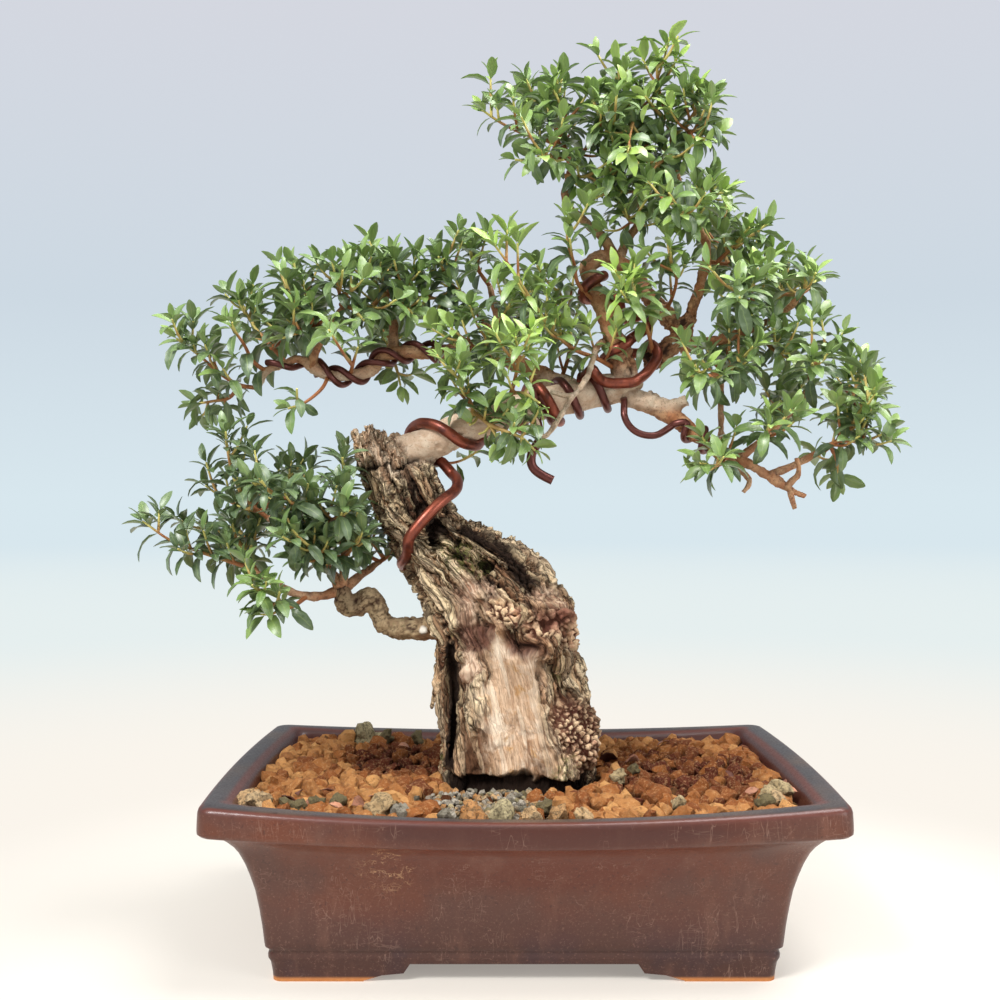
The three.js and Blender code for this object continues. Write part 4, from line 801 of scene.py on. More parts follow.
class Finish:
    """A procedural material while it is put together. Sizes of patterns are in millimetres."""

    def __init__(self, name, **sockets):
        self.material = bpy.data.materials.new(name)
        self.material.use_nodes = True
        self.tree = self.material.node_tree
        self.shader = self.tree.nodes["Principled BSDF"]
        self.place = self.tree.nodes.new("ShaderNodeTexCoord").outputs["Object"]
        for socket, value in sockets.items():
            self.shader.inputs[socket.replace("_", " ").title().replace("Ior", "IOR")].default_value = value

    def add(self, kind, **settings):
        made = self.tree.nodes.new(kind)
        for name, value in settings.items():
            setattr(made, name, value)
        return made

    def feed(self, socket, value):
        """Links a socket, or sets its value."""
        if isinstance(value, bpy.types.NodeSocket):
            self.tree.links.new(value, socket)
        elif hasattr(value, "__len__") and len(value) == 3 and len(socket.default_value) == 4:
            socket.default_value = (*value, 1)
        else:
            socket.default_value = value

    def mapped(self, stretch):
        """Coordinates in millimetres over the stretch along each axis."""
        mapping = self.add("ShaderNodeMapping")
        self.feed(mapping.inputs["Vector"], self.place)
        mapping.inputs["Scale"].default_value = [1 / (MM * size) for size in stretch]
        return mapping.outputs["Vector"]

    def noise(self, size, detail=3, roughness=0.55, stretch=(1, 1, 1)):
        texture = self.add("ShaderNodeTexNoise")
        self.feed(texture.inputs["Vector"], self.mapped([size * part for part in stretch]))
        texture.inputs["Scale"].default_value = 1
        texture.inputs["Detail"].default_value = detail
        texture.inputs["Roughness"].default_value = roughness
        return texture.outputs["Fac"]

    def cells(self, size, feature="F1", stretch=(1, 1, 1), output="Distance"):
        texture = self.add("ShaderNodeTexVoronoi", feature=feature)
        self.feed(texture.inputs["Vector"], self.mapped([size * part for part in stretch]))
        texture.inputs["Scale"].default_value = 1
        return texture.outputs[output]

    def hairlines(self, size, width, stretch=(1, 1, 1)):
        """Thin wandering lines, where a noise passes its middle."""
        away = self.maths("ABSOLUTE", self.maths("SUBTRACT", self.noise(size, 1, 0.5, stretch), 0.5))
        return self.span(away, 0, width, 1, 0)

    def attribute(self, name):
        return self.add("ShaderNodeAttribute", attribute_name=name).outputs["Fac"]

    def follow(self, name):
        """Patterns made after this follow places that the mesh keeps, such as the run of the grain."""
        self.place = self.add("ShaderNodeAttribute", attribute_name=name).outputs["Vector"]

    def height(self):
        """Height above the ground in millimetres."""
        split = self.add("ShaderNodeSeparateXYZ")
        self.feed(split.inputs[0], self.mapped((1, 1, 1)))
        return split.outputs["Z"]

    def maths(self, kind, first, second=0.0):
        made = self.add("ShaderNodeMath", operation=kind)
        self.feed(made.inputs[0], first)
        self.feed(made.inputs[1], second)
        return made.outputs[0]

    def times(self, first, second):
        return self.maths("MULTIPLY", first, second)

    def span(self, value, low, high, start=0.0, end=1.0):
        """Maps low to high onto start to end, smoothly and clamped."""
        ranged = self.add("ShaderNodeMapRange", interpolation_type="SMOOTHSTEP")
        self.feed(ranged.inputs["Value"], value)
        for name, number in zip(("From Min", "From Max", "To Min", "To Max"), (low, high, start, end)):
            ranged.inputs[name].default_value = number
        return ranged.outputs["Result"]

    def mix(self, share, first, second):
        mixed = self.add("ShaderNodeMix", data_type="RGBA")
        self.feed(mixed.inputs[0], share)
        self.feed(mixed.inputs[6], first)
        self.feed(mixed.inputs[7], second)
        return mixed.outputs[2]

    def fade(self, pattern, low, high, first, second):
        """One colour where a pattern is low and the other where it is high."""
        return self.mix(self.span(pattern, low, high), first, second)

    def where(self, name, colour, other, strength=1):
        """Goes over to the other colour by a number that the mesh keeps."""
        return self.mix(self.times(self.attribute(name), strength), colour, other)

    def lay(self, colour, *layers):
        """Lays screen colours over a colour, one by one. Each layer is a pattern, the level where the
        colour begins, the level where it is strongest, how strong it is there, and the colour."""
        for pattern, begin, full, strength, screen in layers:
            colour = self.mix(self.span(pattern, begin, full, 0, strength), colour, rgb(*screen))
        return colour

    def ramp(self, value, stops):
        """Colours at places from 0 to 1."""
        made = self.add("ShaderNodeValToRGB")
        self.feed(made.inputs["Fac"], value)
        elements = made.color_ramp.elements
        while len(elements) < len(stops):
            elements.new(0.5)
        for element, (place, colour) in zip(elements, stops):
            element.position = place
            element.color = (*colour, 1)
        return made.outputs["Color"]

    def bump(self, height, strength, distance):
        """Relief from a height, distance in millimetres, over any relief that was there before."""
        bump = self.add("ShaderNodeBump")
        bump.inputs["Strength"].default_value = strength
        bump.inputs["Distance"].default_value = distance * MM
        self.feed(bump.inputs["Height"], height)
        normal = self.shader.inputs["Normal"]
        if normal.is_linked:
            self.feed(bump.inputs["Normal"], normal.links[0].from_socket)
        self.feed(normal, bump.outputs["Normal"])

    def colour(self, value):
        self.feed(self.shader.inputs["Base Color"], value)

    def gloss(self, value):
        self.feed(self.shader.inputs["Roughness"], value)


def rgb(*screen):
    """A screen colour, each part 0 to 255, as the linear numbers that a shader takes."""
    parts = [part / 255 for part in screen]
    return tuple(part / 12.92 if part <= 0.04045 else ((part + 0.055) / 1.055) ** 2.4 for part in parts)


def colour_property(name, description, screen):
    return bpy.props.FloatVectorProperty(
        name=name, description=description, default=rgb(*screen),
        size=3, min=0, max=1, subtype="COLOR",
    )


def length_property(name, description, millimetres):
    return bpy.props.FloatProperty(
        name=name, description=description, default=millimetres * MM,
        min=0, soft_max=0.1, precision=5, subtype="DISTANCE", unit="LENGTH",
    )


def group_property(kind, name, description):
    return bpy.props.PointerProperty(type=kind, name=name, description=description)


# Settings that a user would change

class PotSettings(bpy.types.PropertyGroup):
    glaze: colour_property("Glaze", "Iron-brown glaze of the walls", (89, 55, 45))
    warm: colour_property("Warm glaze", "Redder glaze where it pooled thick", (102, 54, 36))
    rim: colour_property("Rim", "Dark grey bloom on top of the rim", (62, 57, 58))
    clay: colour_property("Clay", "Bare clay on the soles of the feet", (176, 104, 56))


class SoilSettings(bpy.types.PropertyGroup):
    grain: length_property("Grain", "Usual width of a fired-clay grain", 6.7)
    gravel: length_property("Gravel", "Usual width of the fine gravel", 2.9)
    pale: colour_property("Pale clay", "Lightest grains", (204, 150, 92))
    deep: colour_property("Deep clay", "Usual orange grains", (150, 90, 46))
    dark: colour_property("Dark clay", "Red-brown grains", (92, 44, 28))


class WoodSettings(bpy.types.PropertyGroup):
    trunk_detail: length_property("Trunk detail", "Size of the trunk's finest faces", 0.6)
    branch_detail: length_property("Branch detail", "Size of the branches' finest faces", 0.78)
    ridge: colour_property("Ridges", "Weathered crests of the bark", (206, 168, 130))
    # Crevices: the colour of the painted shade in the furrows, holes, slot and undercut
    painted_crevice_shade: colour_property("Crevices", "Bottom of the furrows", (40, 27, 19))
    dead: colour_property("Dead wood", "Pale dead wood of the front", (232, 200, 168))
    smooth: colour_property("Smooth bark", "Smooth bark of the first branch", (204, 176, 150))
    twig: colour_property("Twigs", "Orange-brown bark of the twigs", (164, 106, 68))


class WireSettings(bpy.types.PropertyGroup):
    bright: colour_property("Bright", "Copper-brown of the thick wires", (150, 78, 58))
    dull: colour_property("Dull", "Plum-brown of the thin wires", (108, 60, 54))


class LeafSettings(bpy.types.PropertyGroup):
    length: length_property("Leaf length", "Length of a full-grown leaf", 12.8)
    width: bpy.props.FloatProperty(
        name="Leaf width", description="Width of a leaf over its length", default=0.37, min=0.1, max=1,
        subtype="FACTOR",
    )
    old: colour_property("Old leaves", "Dark green of last year's leaves", (68, 90, 54))
    middle: colour_property("Grown leaves", "Green of this year's leaves", (108, 138, 68))
    young: colour_property("Young leaves", "Yellow-green of the opening tips", (158, 190, 82))


class StageSettings(bpy.types.PropertyGroup):
    floor: colour_property("Floor", "Pale floor", (242, 235, 224))
    high: colour_property("Top of the backdrop", "Pale lilac-blue", (212, 215, 224))
    sky: colour_property("Middle of the backdrop", "Pale blue", (205, 217, 227))
    haze: colour_property("Foot of the backdrop", "Pale aqua where it meets the floor", (216, 231, 238))
    key: bpy.props.FloatProperty(
        name="Key light", description="Power of the main soft light", default=25, min=0, subtype="POWER",
        unit="POWER",
    )
    fill: bpy.props.FloatProperty(
        name="Fill light", description="Strength of the soft light from all round", default=0.42, min=0,
        subtype="FACTOR",
    )


class BonsaiSettings(bpy.types.PropertyGroup):
    pot: group_property(PotSettings, "Pot", "Glazed tray")
    soil: group_property(SoilSettings, "Soil", "Clay grains and gravel")
    wood: group_property(WoodSettings, "Wood", "Trunk, branches and twigs")
    wires: group_property(WireSettings, "Wires", "Training wires")
    leaves: group_property(LeafSettings, "Leaves", "Leafy sprays")
    stage: group_property(StageSettings, "Stage", "Floor, lights and camera")


# Pot

def pot_outline(inset, height):
    """The pot's outline at one level, in millimetres: a soft rectangle that bows out and sags."""
    rise = height / POT_HEIGHT
    half_length = RIM_HALF_LENGTH - inset
    half_width = RIM_HALF_WIDTH - inset
    corner = BASE_CORNER + (RIM_CORNER - BASE_CORNER) * rise
    points = []
    for sign_x, sign_y, start, steps in (
        (-1, -1, 2, LONG_SIDE_STEPS), (1, -1, 3, SHORT_SIDE_STEPS), (1, 1, 0, LONG_SIDE_STEPS),
        (-1, 1, 1, SHORT_SIDE_STEPS),
    ):
        middle = (sign_x * (half_length - corner), sign_y * (half_width - corner))
        for step in range(CORNER_STEPS + 1):
            angle = math.pi / 2 * (start + step / CORNER_STEPS)
            points.append((middle[0] + corner * math.cos(angle), middle[1] + corner * math.sin(angle)))
        along = math.pi / 2 * (start + 2)
        side = 2 * ((half_length if steps == LONG_SIDE_STEPS else half_width) - corner)
        last = points[-1]
        for step in range(1, steps):
            reach = side * step / steps
            points.append((last[0] + reach * math.cos(along), last[1] + reach * math.sin(along)))
    x, y = np.array(points).T
    level = rise ** 2
    bulge_x = RIM_SHORT_BOW * level * (1 - (y / half_width) ** 2) * np.abs(x / half_length)
    bulge_y = RIM_LONG_BOW * level * (1 - (x / half_length) ** 2) * np.abs(y / half_width)
    dip = RIM_SAG * level * (1 - (x / half_length) ** 2)
    return np.column_stack([x + np.sign(x) * bulge_x, y + np.sign(y) * bulge_y, height - dip])


def foot_gap(top, step, along_x):
    """The gap between two feet, whose glazed brackets end in a low step."""
    outline = [
        (-top - step, -1), (top + step, -1), (top + step, 0.3), (top + 0.6 * step, 2.4),
        (top + 2.5, 3.2), (top, FOOT_HEIGHT), (-top, FOOT_HEIGHT), (-top - 2.5, 3.2),
        (-top - 0.6 * step, 2.4), (-top - step, 0.3),
    ]
    reach = 140
    rings = [[(x, y, z) for x, z in outline] for y in (-reach, reach)]
    if along_x:
        rings = [[(-y, x, z) for x, y, z in ring] for ring in rings]
    return ring_stack("foot_gap", rings)


def pot_inset(points):
    """How far each point lies inside the rim's outer edge, in millimetres."""
    level = (points[:, 2] / POT_HEIGHT) ** 2
    across = np.clip(points[:, 0] / RIM_HALF_LENGTH, -1, 1) ** 2
    deep = np.clip(points[:, 1] / RIM_HALF_WIDTH, -1, 1) ** 2
    inset_x = RIM_HALF_LENGTH + RIM_SHORT_BOW * level * (1 - deep) - np.abs(points[:, 0])
    inset_y = RIM_HALF_WIDTH + RIM_LONG_BOW * level * (1 - across) - np.abs(points[:, 1])
    return np.minimum(inset_x, inset_y)


def glaze_finish(look):
    finish = Finish("iron_glaze", specular_ior_level=0.3, coat_weight=0.18, coat_roughness=0.12)
    height = finish.height()
    rim = finish.span(height, 58, 66)
    cloud = finish.noise(42, 4, 0.6)
    streak = finish.noise(9, 4, 0.6, stretch=(1, 1, 5))
    fleck = finish.noise(0.9, 3, 0.7)
    wall = finish.fade(cloud, 0.42, 0.66, look.glaze, look.warm)
    wall = finish.where("warm", wall, rgb(96, 42, 22))
    foot = finish.fade(cloud, 0.46, 0.6, rgb(70, 42, 35), rgb(58, 38, 40))
    wall = finish.mix(finish.span(height, 8, 40, 0.9, 0), wall, foot)
    wall = finish.lay(
        wall,
        (streak, 0.5, 0.75, 0.3, (128, 88, 72)),
        (fleck, 0.54, 0.76, 0.5, (142, 106, 92)),
        (finish.noise(1.6, 4, 0.7), 0.55, 0.72, 0.5, (50, 30, 28)),
    )
    wall = finish.where("rim_shade", wall, rgb(64, 30, 26))
    worn = finish.span(finish.noise(15, 2, 0.5), 0.52, 0.62)
    scratch = finish.times(worn, finish.hairlines(2.6, 0.016, stretch=(1, 1, 7)))
    slanted = finish.times(worn, finish.hairlines(2.2, 0.014, stretch=(6, 1, 1.4)))
    scratch = finish.maths("MAXIMUM", scratch, finish.times(slanted, 0.6))
    wall = finish.mix(finish.times(scratch, 0.34), wall, rgb(158, 126, 110))
    top = finish.fade(cloud, 0.4, 0.7, look.rim, rgb(84, 68, 58))
    top = finish.lay(top, (finish.noise(3.2, 4, 0.7), 0.56, 0.68, 0.7, (34, 30, 32)))
    colour = finish.mix(finish.times(rim, finish.attribute("rim_top")), wall, top)
    colour = finish.where("edge", colour, rgb(96, 46, 34))
    colour = finish.where("inner", colour, rgb(70, 34, 28))
    crackle = finish.hairlines(2.2, 0.022, stretch=(1, 1, 4))
    crackle = finish.maths("MAXIMUM", crackle, finish.hairlines(2.4, 0.022, stretch=(4, 1, 1)))
    crackle = finish.maths("MAXIMUM", crackle, finish.hairlines(2.6, 0.02))
    bloom = finish.times(finish.attribute("bloom"), crackle)
    bloom = finish.times(bloom, finish.span(finish.noise(4, 3, 0.6), 0.46, 0.6))
    colour = finish.mix(finish.times(bloom, 0.8), colour, rgb(186, 144, 106))
    sole = finish.span(height, 0.8, 2.2, 1, 0)
    clay = finish.mix(finish.noise(2, 4), look.clay, rgb(206, 142, 84))
    finish.colour(finish.mix(sole, colour, clay))
    rough = finish.span(fleck, 0.35, 0.7, 0.32, 0.5)
    finish.gloss(finish.maths("MAXIMUM", rough, finish.times(sole, 0.9)))
    finish.bump(finish.noise(1.1, 4, 0.6), 0.22, 0.35)
    finish.bump(finish.noise(11, 2, 0.5), 0.3, 0.8)
    return finish.material


def model_pot(look):
    levels = POT_OUTSIDE + POT_INSIDE
    pot = ring_stack("glazed_pot", [pot_outline(inset, height) for inset, height in levels])
    cut(pot, foot_gap(*FRONT_FOOT_GAP, along_x=False))
    cut(pot, foot_gap(*SIDE_FOOT_GAP, along_x=True))
    cut(pot, block(0, 0, 0, *UNDERSIDE_HOLLOW, 2 * FOOT_HEIGHT))
    for x in (-DRAIN_OFFSET, DRAIN_OFFSET):
        ring = [(DRAIN_RADIUS * math.cos(turn) + x, DRAIN_RADIUS * math.sin(turn))
                for turn in np.linspace(0, 2 * math.pi, 24, endpoint=False)]
        cut(pot, prism("drain", ring, -1, FLOOR_TOP + 7))
    mend_normals(pot, merge=1e-6)
    shade(pot, POT_SHARP)
    points = read_points(pot) / MM
    normals = read_normals(pot)
    inset = pot_inset(points)
    sag = RIM_SAG * (1 - np.clip(points[:, 0] / RIM_HALF_LENGTH, -1, 1) ** 2)
    top = points[:, 2] + sag
    lip = ease(top, 70, 71.8) * (1 - ease(np.abs(inset - 1.2), 0.6, 1.6))
    inner_lip = ease(top, 69, 71) * (1 - ease(np.abs(inset - 10.6), 0.8, 2))
    store(
        pot,
        rim_top=ease(top, 66, 71.5) * ease(normals[:, 2], 0.1, 0.7),
        edge=0.8 * np.maximum(lip, inner_lip),
        inner=ease(inset, 11, 13) * ease(points[:, 2], 14, 30) * (normals[:, 2] > 0.05),
        warm=0.85 * patch(points, (6, -88, 52), (80, 60, 19)),
        rim_shade=0.75 * patch(points, (10, -94, 66), (96, 30, 9)),
        bloom=patch(points, (-51, -82, 48), (13, 40, 13)),
    )
    dress(pot, ["pot"], glaze_finish(look))


class BONSAI_OT_model_pot(bpy.types.Operator):
    """Model the glazed tray with its feet and drain holes"""

    bl_idname = "bonsai.model_pot"
    bl_label = "Model Pot"

    def execute(self, context):
        model_pot(context.scene.bonsai.pot)
        return {"FINISHED"}


# Drain screens

class BONSAI_OT_finish_screens(bpy.types.Operator):
    """Give the plastic screens over the drain holes their moulded mesh"""

    bl_idname = "bonsai.finish_screens"
    bl_label = "Finish Drain Screens"

    def execute(self, context):
        finish = Finish("moulded_screen", roughness=0.55)
        mesh = finish.cells(2.4, "DISTANCE_TO_EDGE")
        finish.colour(finish.ramp(mesh, [(0.1, rgb(52, 54, 54)), (0.2, rgb(18, 18, 19))]))
        finish.bump(mesh, 0.5, 0.6)
        for name in ("drain_screen_left", "drain_screen_right"):
            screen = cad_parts[name]
            screen.data.materials.clear()
            screen.data.materials.append(finish.material)
        return {"FINISHED"}


# Leaves, fresh and dry

def leaf_shape():
    """One leaf's points and faces, and for each point how far across the leaf it lies, from -1 to 1, and
    whether it is on the under side. The leaf is 1 long along X and 1 wide along Y, with its upper face
    towards +Z, and folded up a little along its rib."""
    deselect()
    bpy.ops.mesh.primitive_uv_sphere_add(segments=6, ring_count=6, radius=1)
    leaf = bpy.context.object
    bpy.ops.object.mode_set(mode="EDIT")
    bpy.ops.mesh.select_all(action="SELECT")
    bpy.ops.transform.rotate(value=math.pi / 2, orient_axis="Y", center_override=(0, 0, 0))
    bpy.ops.mesh.quads_convert_to_tris()
    bpy.ops.object.mode_set(mode="OBJECT")
    x, y, z = read_points(leaf).T
    along = (x + 1) / 2
    round_size = np.sqrt(np.clip(1 - x ** 2, 1e-9, 1))
    end = np.abs(x) > 0.999
    across = np.where(end, 0, np.clip(y / round_size / math.sin(math.pi / 3), -1, 1))
    level = np.where(end, 0, z / round_size)
    half = 0.5 * np.sin(math.pi * along ** 0.98) ** 0.78 * ease(along, -0.08, 0.22)
    fold = 0.2 * np.abs(across * half)
    thick = 0.017 * level * ease(np.minimum(along, 1 - along), -0.02, 0.1)
    faces = np.array([face.vertices[:] for face in leaf.data.polygons])
    bpy.data.objects.remove(leaf)
    return np.column_stack([along, across * half, fold + thick]), faces, across, level < -0.1


def place_leaves(shape, leaves):
    """The points of every leaf, bent along its length: (leaves, points, 3), in millimetres."""
    root, axis, face = (np.array([leaf[key] for leaf in leaves]) for key in ("root", "axis", "face"))
    length, width, bend = (
        np.array([leaf[key] for leaf in leaves])[:, None] for key in ("length", "width", "bend")
    )
    side = np.cross(face, axis)
    x, y, z = shape.T
    turn = bend * x[None]
    lift = z[None] * (width / length) * 2.4
    along = np.sin(turn) / bend + lift * np.sin(turn)
    drop = -(1 - np.cos(turn)) / bend + lift * np.cos(turn)
    return (
        root[:, None]
        + (length * along)[..., None] * axis[:, None]
        + (width * y[None])[..., None] * side[:, None]
        + (length * drop)[..., None] * face[:, None]
    )


# Soil


def soil_height(x, y):
    """The soil's top: higher at the rear on the left, and lower along the middle of the long walls."""
    rear = SOIL_REAR_RISE * np.maximum(0, y / 70) * (0.35 - x / 160)
    dip = SOIL_EDGE_DIP * (1 - (x / RIM_HALF_LENGTH) ** 2) * (y / 75) ** 2
    return SOIL_TOP + rear - dip


def turns_of(count, draw):
    """Random rotations, as one 3 by 3 matrix for each."""
    quaternions = draw.normal(size=(count, 4))
    quaternions /= np.linalg.norm(quaternions, axis=1)[:, None]
    w, x, y, z = quaternions.T
    return np.stack([
        1 - 2 * (y * y + z * z), 2 * (x * y - z * w), 2 * (x * z + y * w),
        2 * (x * y + z * w), 1 - 2 * (x * x + z * z), 2 * (y * z - x * w),
        2 * (x * z - y * w), 2 * (y * z + x * w), 1 - 2 * (x * x + y * y),
    ], axis=1).reshape(-1, 3, 3)


def rough_grain(finer, seed, roughness):
    """One crumb of clay or gravel, about 1 across, chipped flat on some sides: its points and faces."""
    grain = ball(0, 0, 0, 0.5 / MM, finer=finer)
    points = read_points(grain)
    draw = np.random.default_rng(seed)
    chips = draw.normal(size=(CHIPS, 3))
    chips /= np.linalg.norm(chips, axis=1)[:, None]
    depth = draw.uniform(0.36, 0.5, CHIPS)
    facing = np.maximum(points @ chips.T, 1e-6)
    points = points * np.minimum(1, (depth / facing).min(axis=1))[:, None]
    bumps = rough_noise(points * 3.4 + 40 * seed, seed, 2)
    points = points * (1 + roughness * (bumps - 0.5))[:, None]
    faces = np.array([face.vertices[:] for face in grain.data.polygons])
    bpy.data.objects.remove(grain)
    return points, faces


def copies_mesh(name, batches, numbers):
    """One mesh of many copies: each batch holds points (copies, points, 3) and faces, and each number of
    numbers holds one value for each copy of each batch."""
    points, faces = [], []
    values = {key: [] for key in numbers}
    first = 0
    for order, (places, shape) in enumerate(batches):
        copies, count = places.shape[:2]
        points.append(places.reshape(-1, 3))
        shift = first + count * np.arange(copies)[:, None, None]
        faces.append((shape[None] + shift).reshape(-1, shape.shape[1]))
        for key in numbers:
            value = np.asarray(numbers[key][order])
            values[key].append(np.repeat(value, count) if value.ndim == 1 else value.ravel())
        first += copies * count
    points = np.vstack(points)
    faces = np.vstack(faces)
    mesh = bpy.data.meshes.new(name)
    mesh.vertices.add(len(points))
    mesh.loops.add(faces.size)
    mesh.polygons.add(len(faces))
    mesh.vertices.foreach_set("co", points.astype(np.float32).ravel())
    mesh.loops.foreach_set("vertex_index", faces.astype(np.int32).ravel())
    mesh.polygons.foreach_set("loop_start", np.arange(0, faces.size, faces.shape[1], dtype=np.int32))
    mesh.update(calc_edges=True)
    piece = add_object(name, mesh)
    store(piece, **{key: np.concatenate(parts) for key, parts in values.items()})
    return piece


def in_pot(x, y, room):
    """Whether places lie inside the pot's cavity at the soil's top, with some room."""
    half_width = RIM_HALF_WIDTH - CAVITY_WALL + CAVITY_BOW[0] * (1 - (x / CAVITY_HALF[0]) ** 2) - room
    half_length = RIM_HALF_LENGTH - CAVITY_WALL + CAVITY_BOW[1] * (1 - (y / CAVITY_HALF[1]) ** 2) - room
    return (np.abs(x) < half_length) & (np.abs(y) < half_width)


def in_trunk(x, y, room):
    """Whether places lie inside the trunk's foot."""
    along = (x - TRUNK_FOOT_MIDDLE[0]) / (TRUNK_FOOT_HALF[0] + room)
    across = (y - TRUNK_FOOT_MIDDLE[1]) / (TRUNK_FOOT_HALF[1] + room)
    return along ** 4 + across ** 4 < 1


def scatter(step, draw, room, middle=(0, 0), reach=(125, 90)):
    """Jittered places on a grid of triangles, over an oval patch of the soil."""
    row_step = step * math.sin(math.pi / 3)
    rows = np.arange(-reach[1], reach[1], row_step)
    columns = np.arange(-reach[0], reach[0], step)
    x, y = np.meshgrid(columns, rows)
    x = x + (np.arange(len(rows)) % 2 * step / 2)[:, None]
    x = x.ravel() + middle[0] + draw.uniform(-0.28, 0.28, x.size) * step
    y = y.ravel() + middle[1] + draw.uniform(-0.28, 0.28, y.size) * step
    keep = in_pot(x, y, room) & ~in_trunk(x, y, room * 0.5)
    return x[keep], y[keep]


def gravel_share(x, y):
    """How much of the soil's top is fine gravel, in front of the trunk."""
    along = (x - GRAVEL_MIDDLE[0]) / GRAVEL_REACH[0]
    across = (y - GRAVEL_MIDDLE[1]) / GRAVEL_REACH[1]
    return 1 - ease(np.hypot(along, across), 0.6, 1.05)


def dark_share(x, y):
    """How far the grains are the red-brown ones."""
    left = 1 - ease(np.hypot((x + 52) / 36, (y - 22) / 44), 0.6, 1.05)
    right = 1 - ease(np.hypot((x - 70) / 44, (y + 4) / 62), 0.55, 1.1)
    return np.clip(left + 0.8 * right, 0, 1)


def soil_finish(look):
    finish = Finish("fired_clay", roughness=0.95, specular_ior_level=0.2)
    tone = finish.attribute("tone")
    crumb = finish.noise(1.1, 4, 0.7)
    clay = finish.ramp(tone, [(0, look.dark), (0.45, look.deep), (1, look.pale)])
    clay = finish.lay(
        clay,
        (crumb, 0.5, 0.66, 0.45, (222, 178, 126)),
        (finish.noise(2.2, 4, 0.7), 0.52, 0.66, 0.6, (104, 56, 31)),
    )
    stone = finish.ramp(finish.attribute("kind"), [
        (0, rgb(150, 138, 122)), (0.3, rgb(188, 178, 162)), (0.55, rgb(116, 110, 94)),
        (0.7, rgb(206, 172, 128)), (0.82, rgb(180, 124, 72)), (0.92, rgb(184, 170, 132)),
        (1, rgb(112, 100, 70)),
    ])
    stone = finish.lay(stone, (finish.noise(1.4, 4, 0.7), 0.45, 0.62, 0.7, (84, 76, 60)))
    colour = finish.where("gravel", clay, stone)
    # Painted shade: near black on the grains' undersides, on the lower layer of grains and on the bed
    # between them
    finish.colour(finish.where("deep", colour, rgb(30, 16, 9)))
    finish.bump(finish.noise(0.9, 4, 0.75), 1.0, 0.8)
    finish.bump(finish.noise(2.2, 4, 0.7), 0.8, 1.2)
    return finish.material


def clay_grains(draw, grain, depth, step, room):
    """Clay grains at one depth under the soil's top: the place, width, tone and kind of stone of each."""
    x, y = scatter(step, draw, room)
    size = grain * draw.triangular(0.6, 0.95, 1.75, len(x))
    keep = draw.random(len(x)) > 0.96 * gravel_share(x, y) * (depth < 4)
    x, y, size = x[keep], y[keep], size[keep]
    z = soil_height(x, y) - depth + draw.uniform(-0.9, 1.1, len(x))
    dark = dark_share(x, y)
    tone = np.clip(0.62 - 0.56 * dark + draw.normal(0, 0.2, len(x)), 0, 1)
    return np.stack([x, y, z], axis=1), size * (1 - 0.22 * dark), tone, np.zeros(len(x))


def fine_gravel(draw, gravel):
    """The gravel in front of the trunk, given as the clay grains are."""
    x, y = scatter(gravel * 0.92, draw, 1.6, GRAVEL_MIDDLE, [reach + 2 for reach in GRAVEL_REACH])
    keep = draw.random(len(x)) < gravel_share(x, y)
    x, y = x[keep], y[keep]
    size = gravel * draw.uniform(0.65, 1.35, len(x))
    z = soil_height(x, y) - 2.6 + draw.uniform(-0.6, 0.9, len(x))
    return np.stack([x, y, z], axis=1), size, np.full(len(x), 0.6), draw.random(len(x))


def laid_pebbles():
    """The larger stones on the soil, given as the clay grains are."""
    x, y, size, kind = np.array(PEBBLES, float).T
    return np.stack([x, y, soil_height(x, y) + 0.5], axis=1), size, np.full(len(x), 0.6), kind


def pile_grains(look):
    """All the grains as one mesh: two layers of clay, the gravel and the pebbles. After each layer come
    whether it is stone, how fine and how rough its grains are, and the shade that lies on it."""
    draw = np.random.default_rng(7)
    grain = look.grain / MM
    layers = [
        (clay_grains(draw, grain, 2.2, grain, 3.4), 0, 2, 0.8, 0),
        (clay_grains(draw, grain, 6.2, grain * 1.05, 4), 0, 2, 0.7, 0.7),
        (fine_gravel(draw, look.gravel / MM), 1, 1, 0.6, 0),
        (laid_pebbles(), 1, 3, 0.9, 0),
    ]
    batches = []
    numbers = {"tone": [], "kind": [], "gravel": [], "deep": []}
    for (places, size, tone, kind), stony, finer, roughness, shadow in layers:
        variant = draw.integers(0, GRAIN_SHAPES, len(size))
        for seed in range(GRAIN_SHAPES):
            chosen = variant == seed
            points, faces = rough_grain(finer, seed + 3, roughness)
            count = int(chosen.sum())
            sizes = draw.uniform(0.78, 1.18, (count, 1, 3))
            turned = np.einsum("nij,npj->npi", turns_of(count, draw), points[None] * sizes)
            spots = turned * size[chosen, None, None] + places[chosen][:, None]
            batches.append((spots * MM, faces))
            numbers["tone"].append(tone[chosen])
            numbers["kind"].append(kind[chosen])
            numbers["gravel"].append(np.full(count, stony))
            # Painted shade: the layer's own shade, and more on each grain's underside
            numbers["deep"].append(shadow + 0.85 * ease(-turned[:, :, 2], -0.02, 0.36))
    grains = copies_mesh("soil_grains", batches, numbers)
    shade(grains, GRAIN_SHARP)
    return grains


def squared_off(part):
    """Pushes a cosine or sine outwards, so that a circle becomes a soft square."""
    return math.copysign(abs(part) ** 0.6, part)


def model_soil(look):
    finish = soil_finish(look)
    cavity = [(29, FLOOR_TOP + 0.7), (20, 50), (16, BED_TOP)]
    bed = ring_stack("soil_bed", [pot_outline(inset + SOIL_CLEARANCE, height) for inset, height in cavity])
    foot = [
        (TRUNK_HOLE_HALF[0] * squared_off(math.cos(turn)) + TRUNK_HOLE_MIDDLE[0],
         TRUNK_HOLE_HALF[1] * squared_off(math.sin(turn)) + TRUNK_HOLE_MIDDLE[1])
        for turn in np.linspace(0, 2 * math.pi, 48, endpoint=False)
    ]
    cut(bed, prism("foot_hole", foot, BED_TOP - 3, BED_TOP + 18))
    # Painted shade: the bed between the grains is kept near black
    store(bed, deep=np.full(len(bed.data.vertices), 0.9))
    dress(bed, ["soil"], finish)
    dress(pile_grains(look), ["soil"], finish)


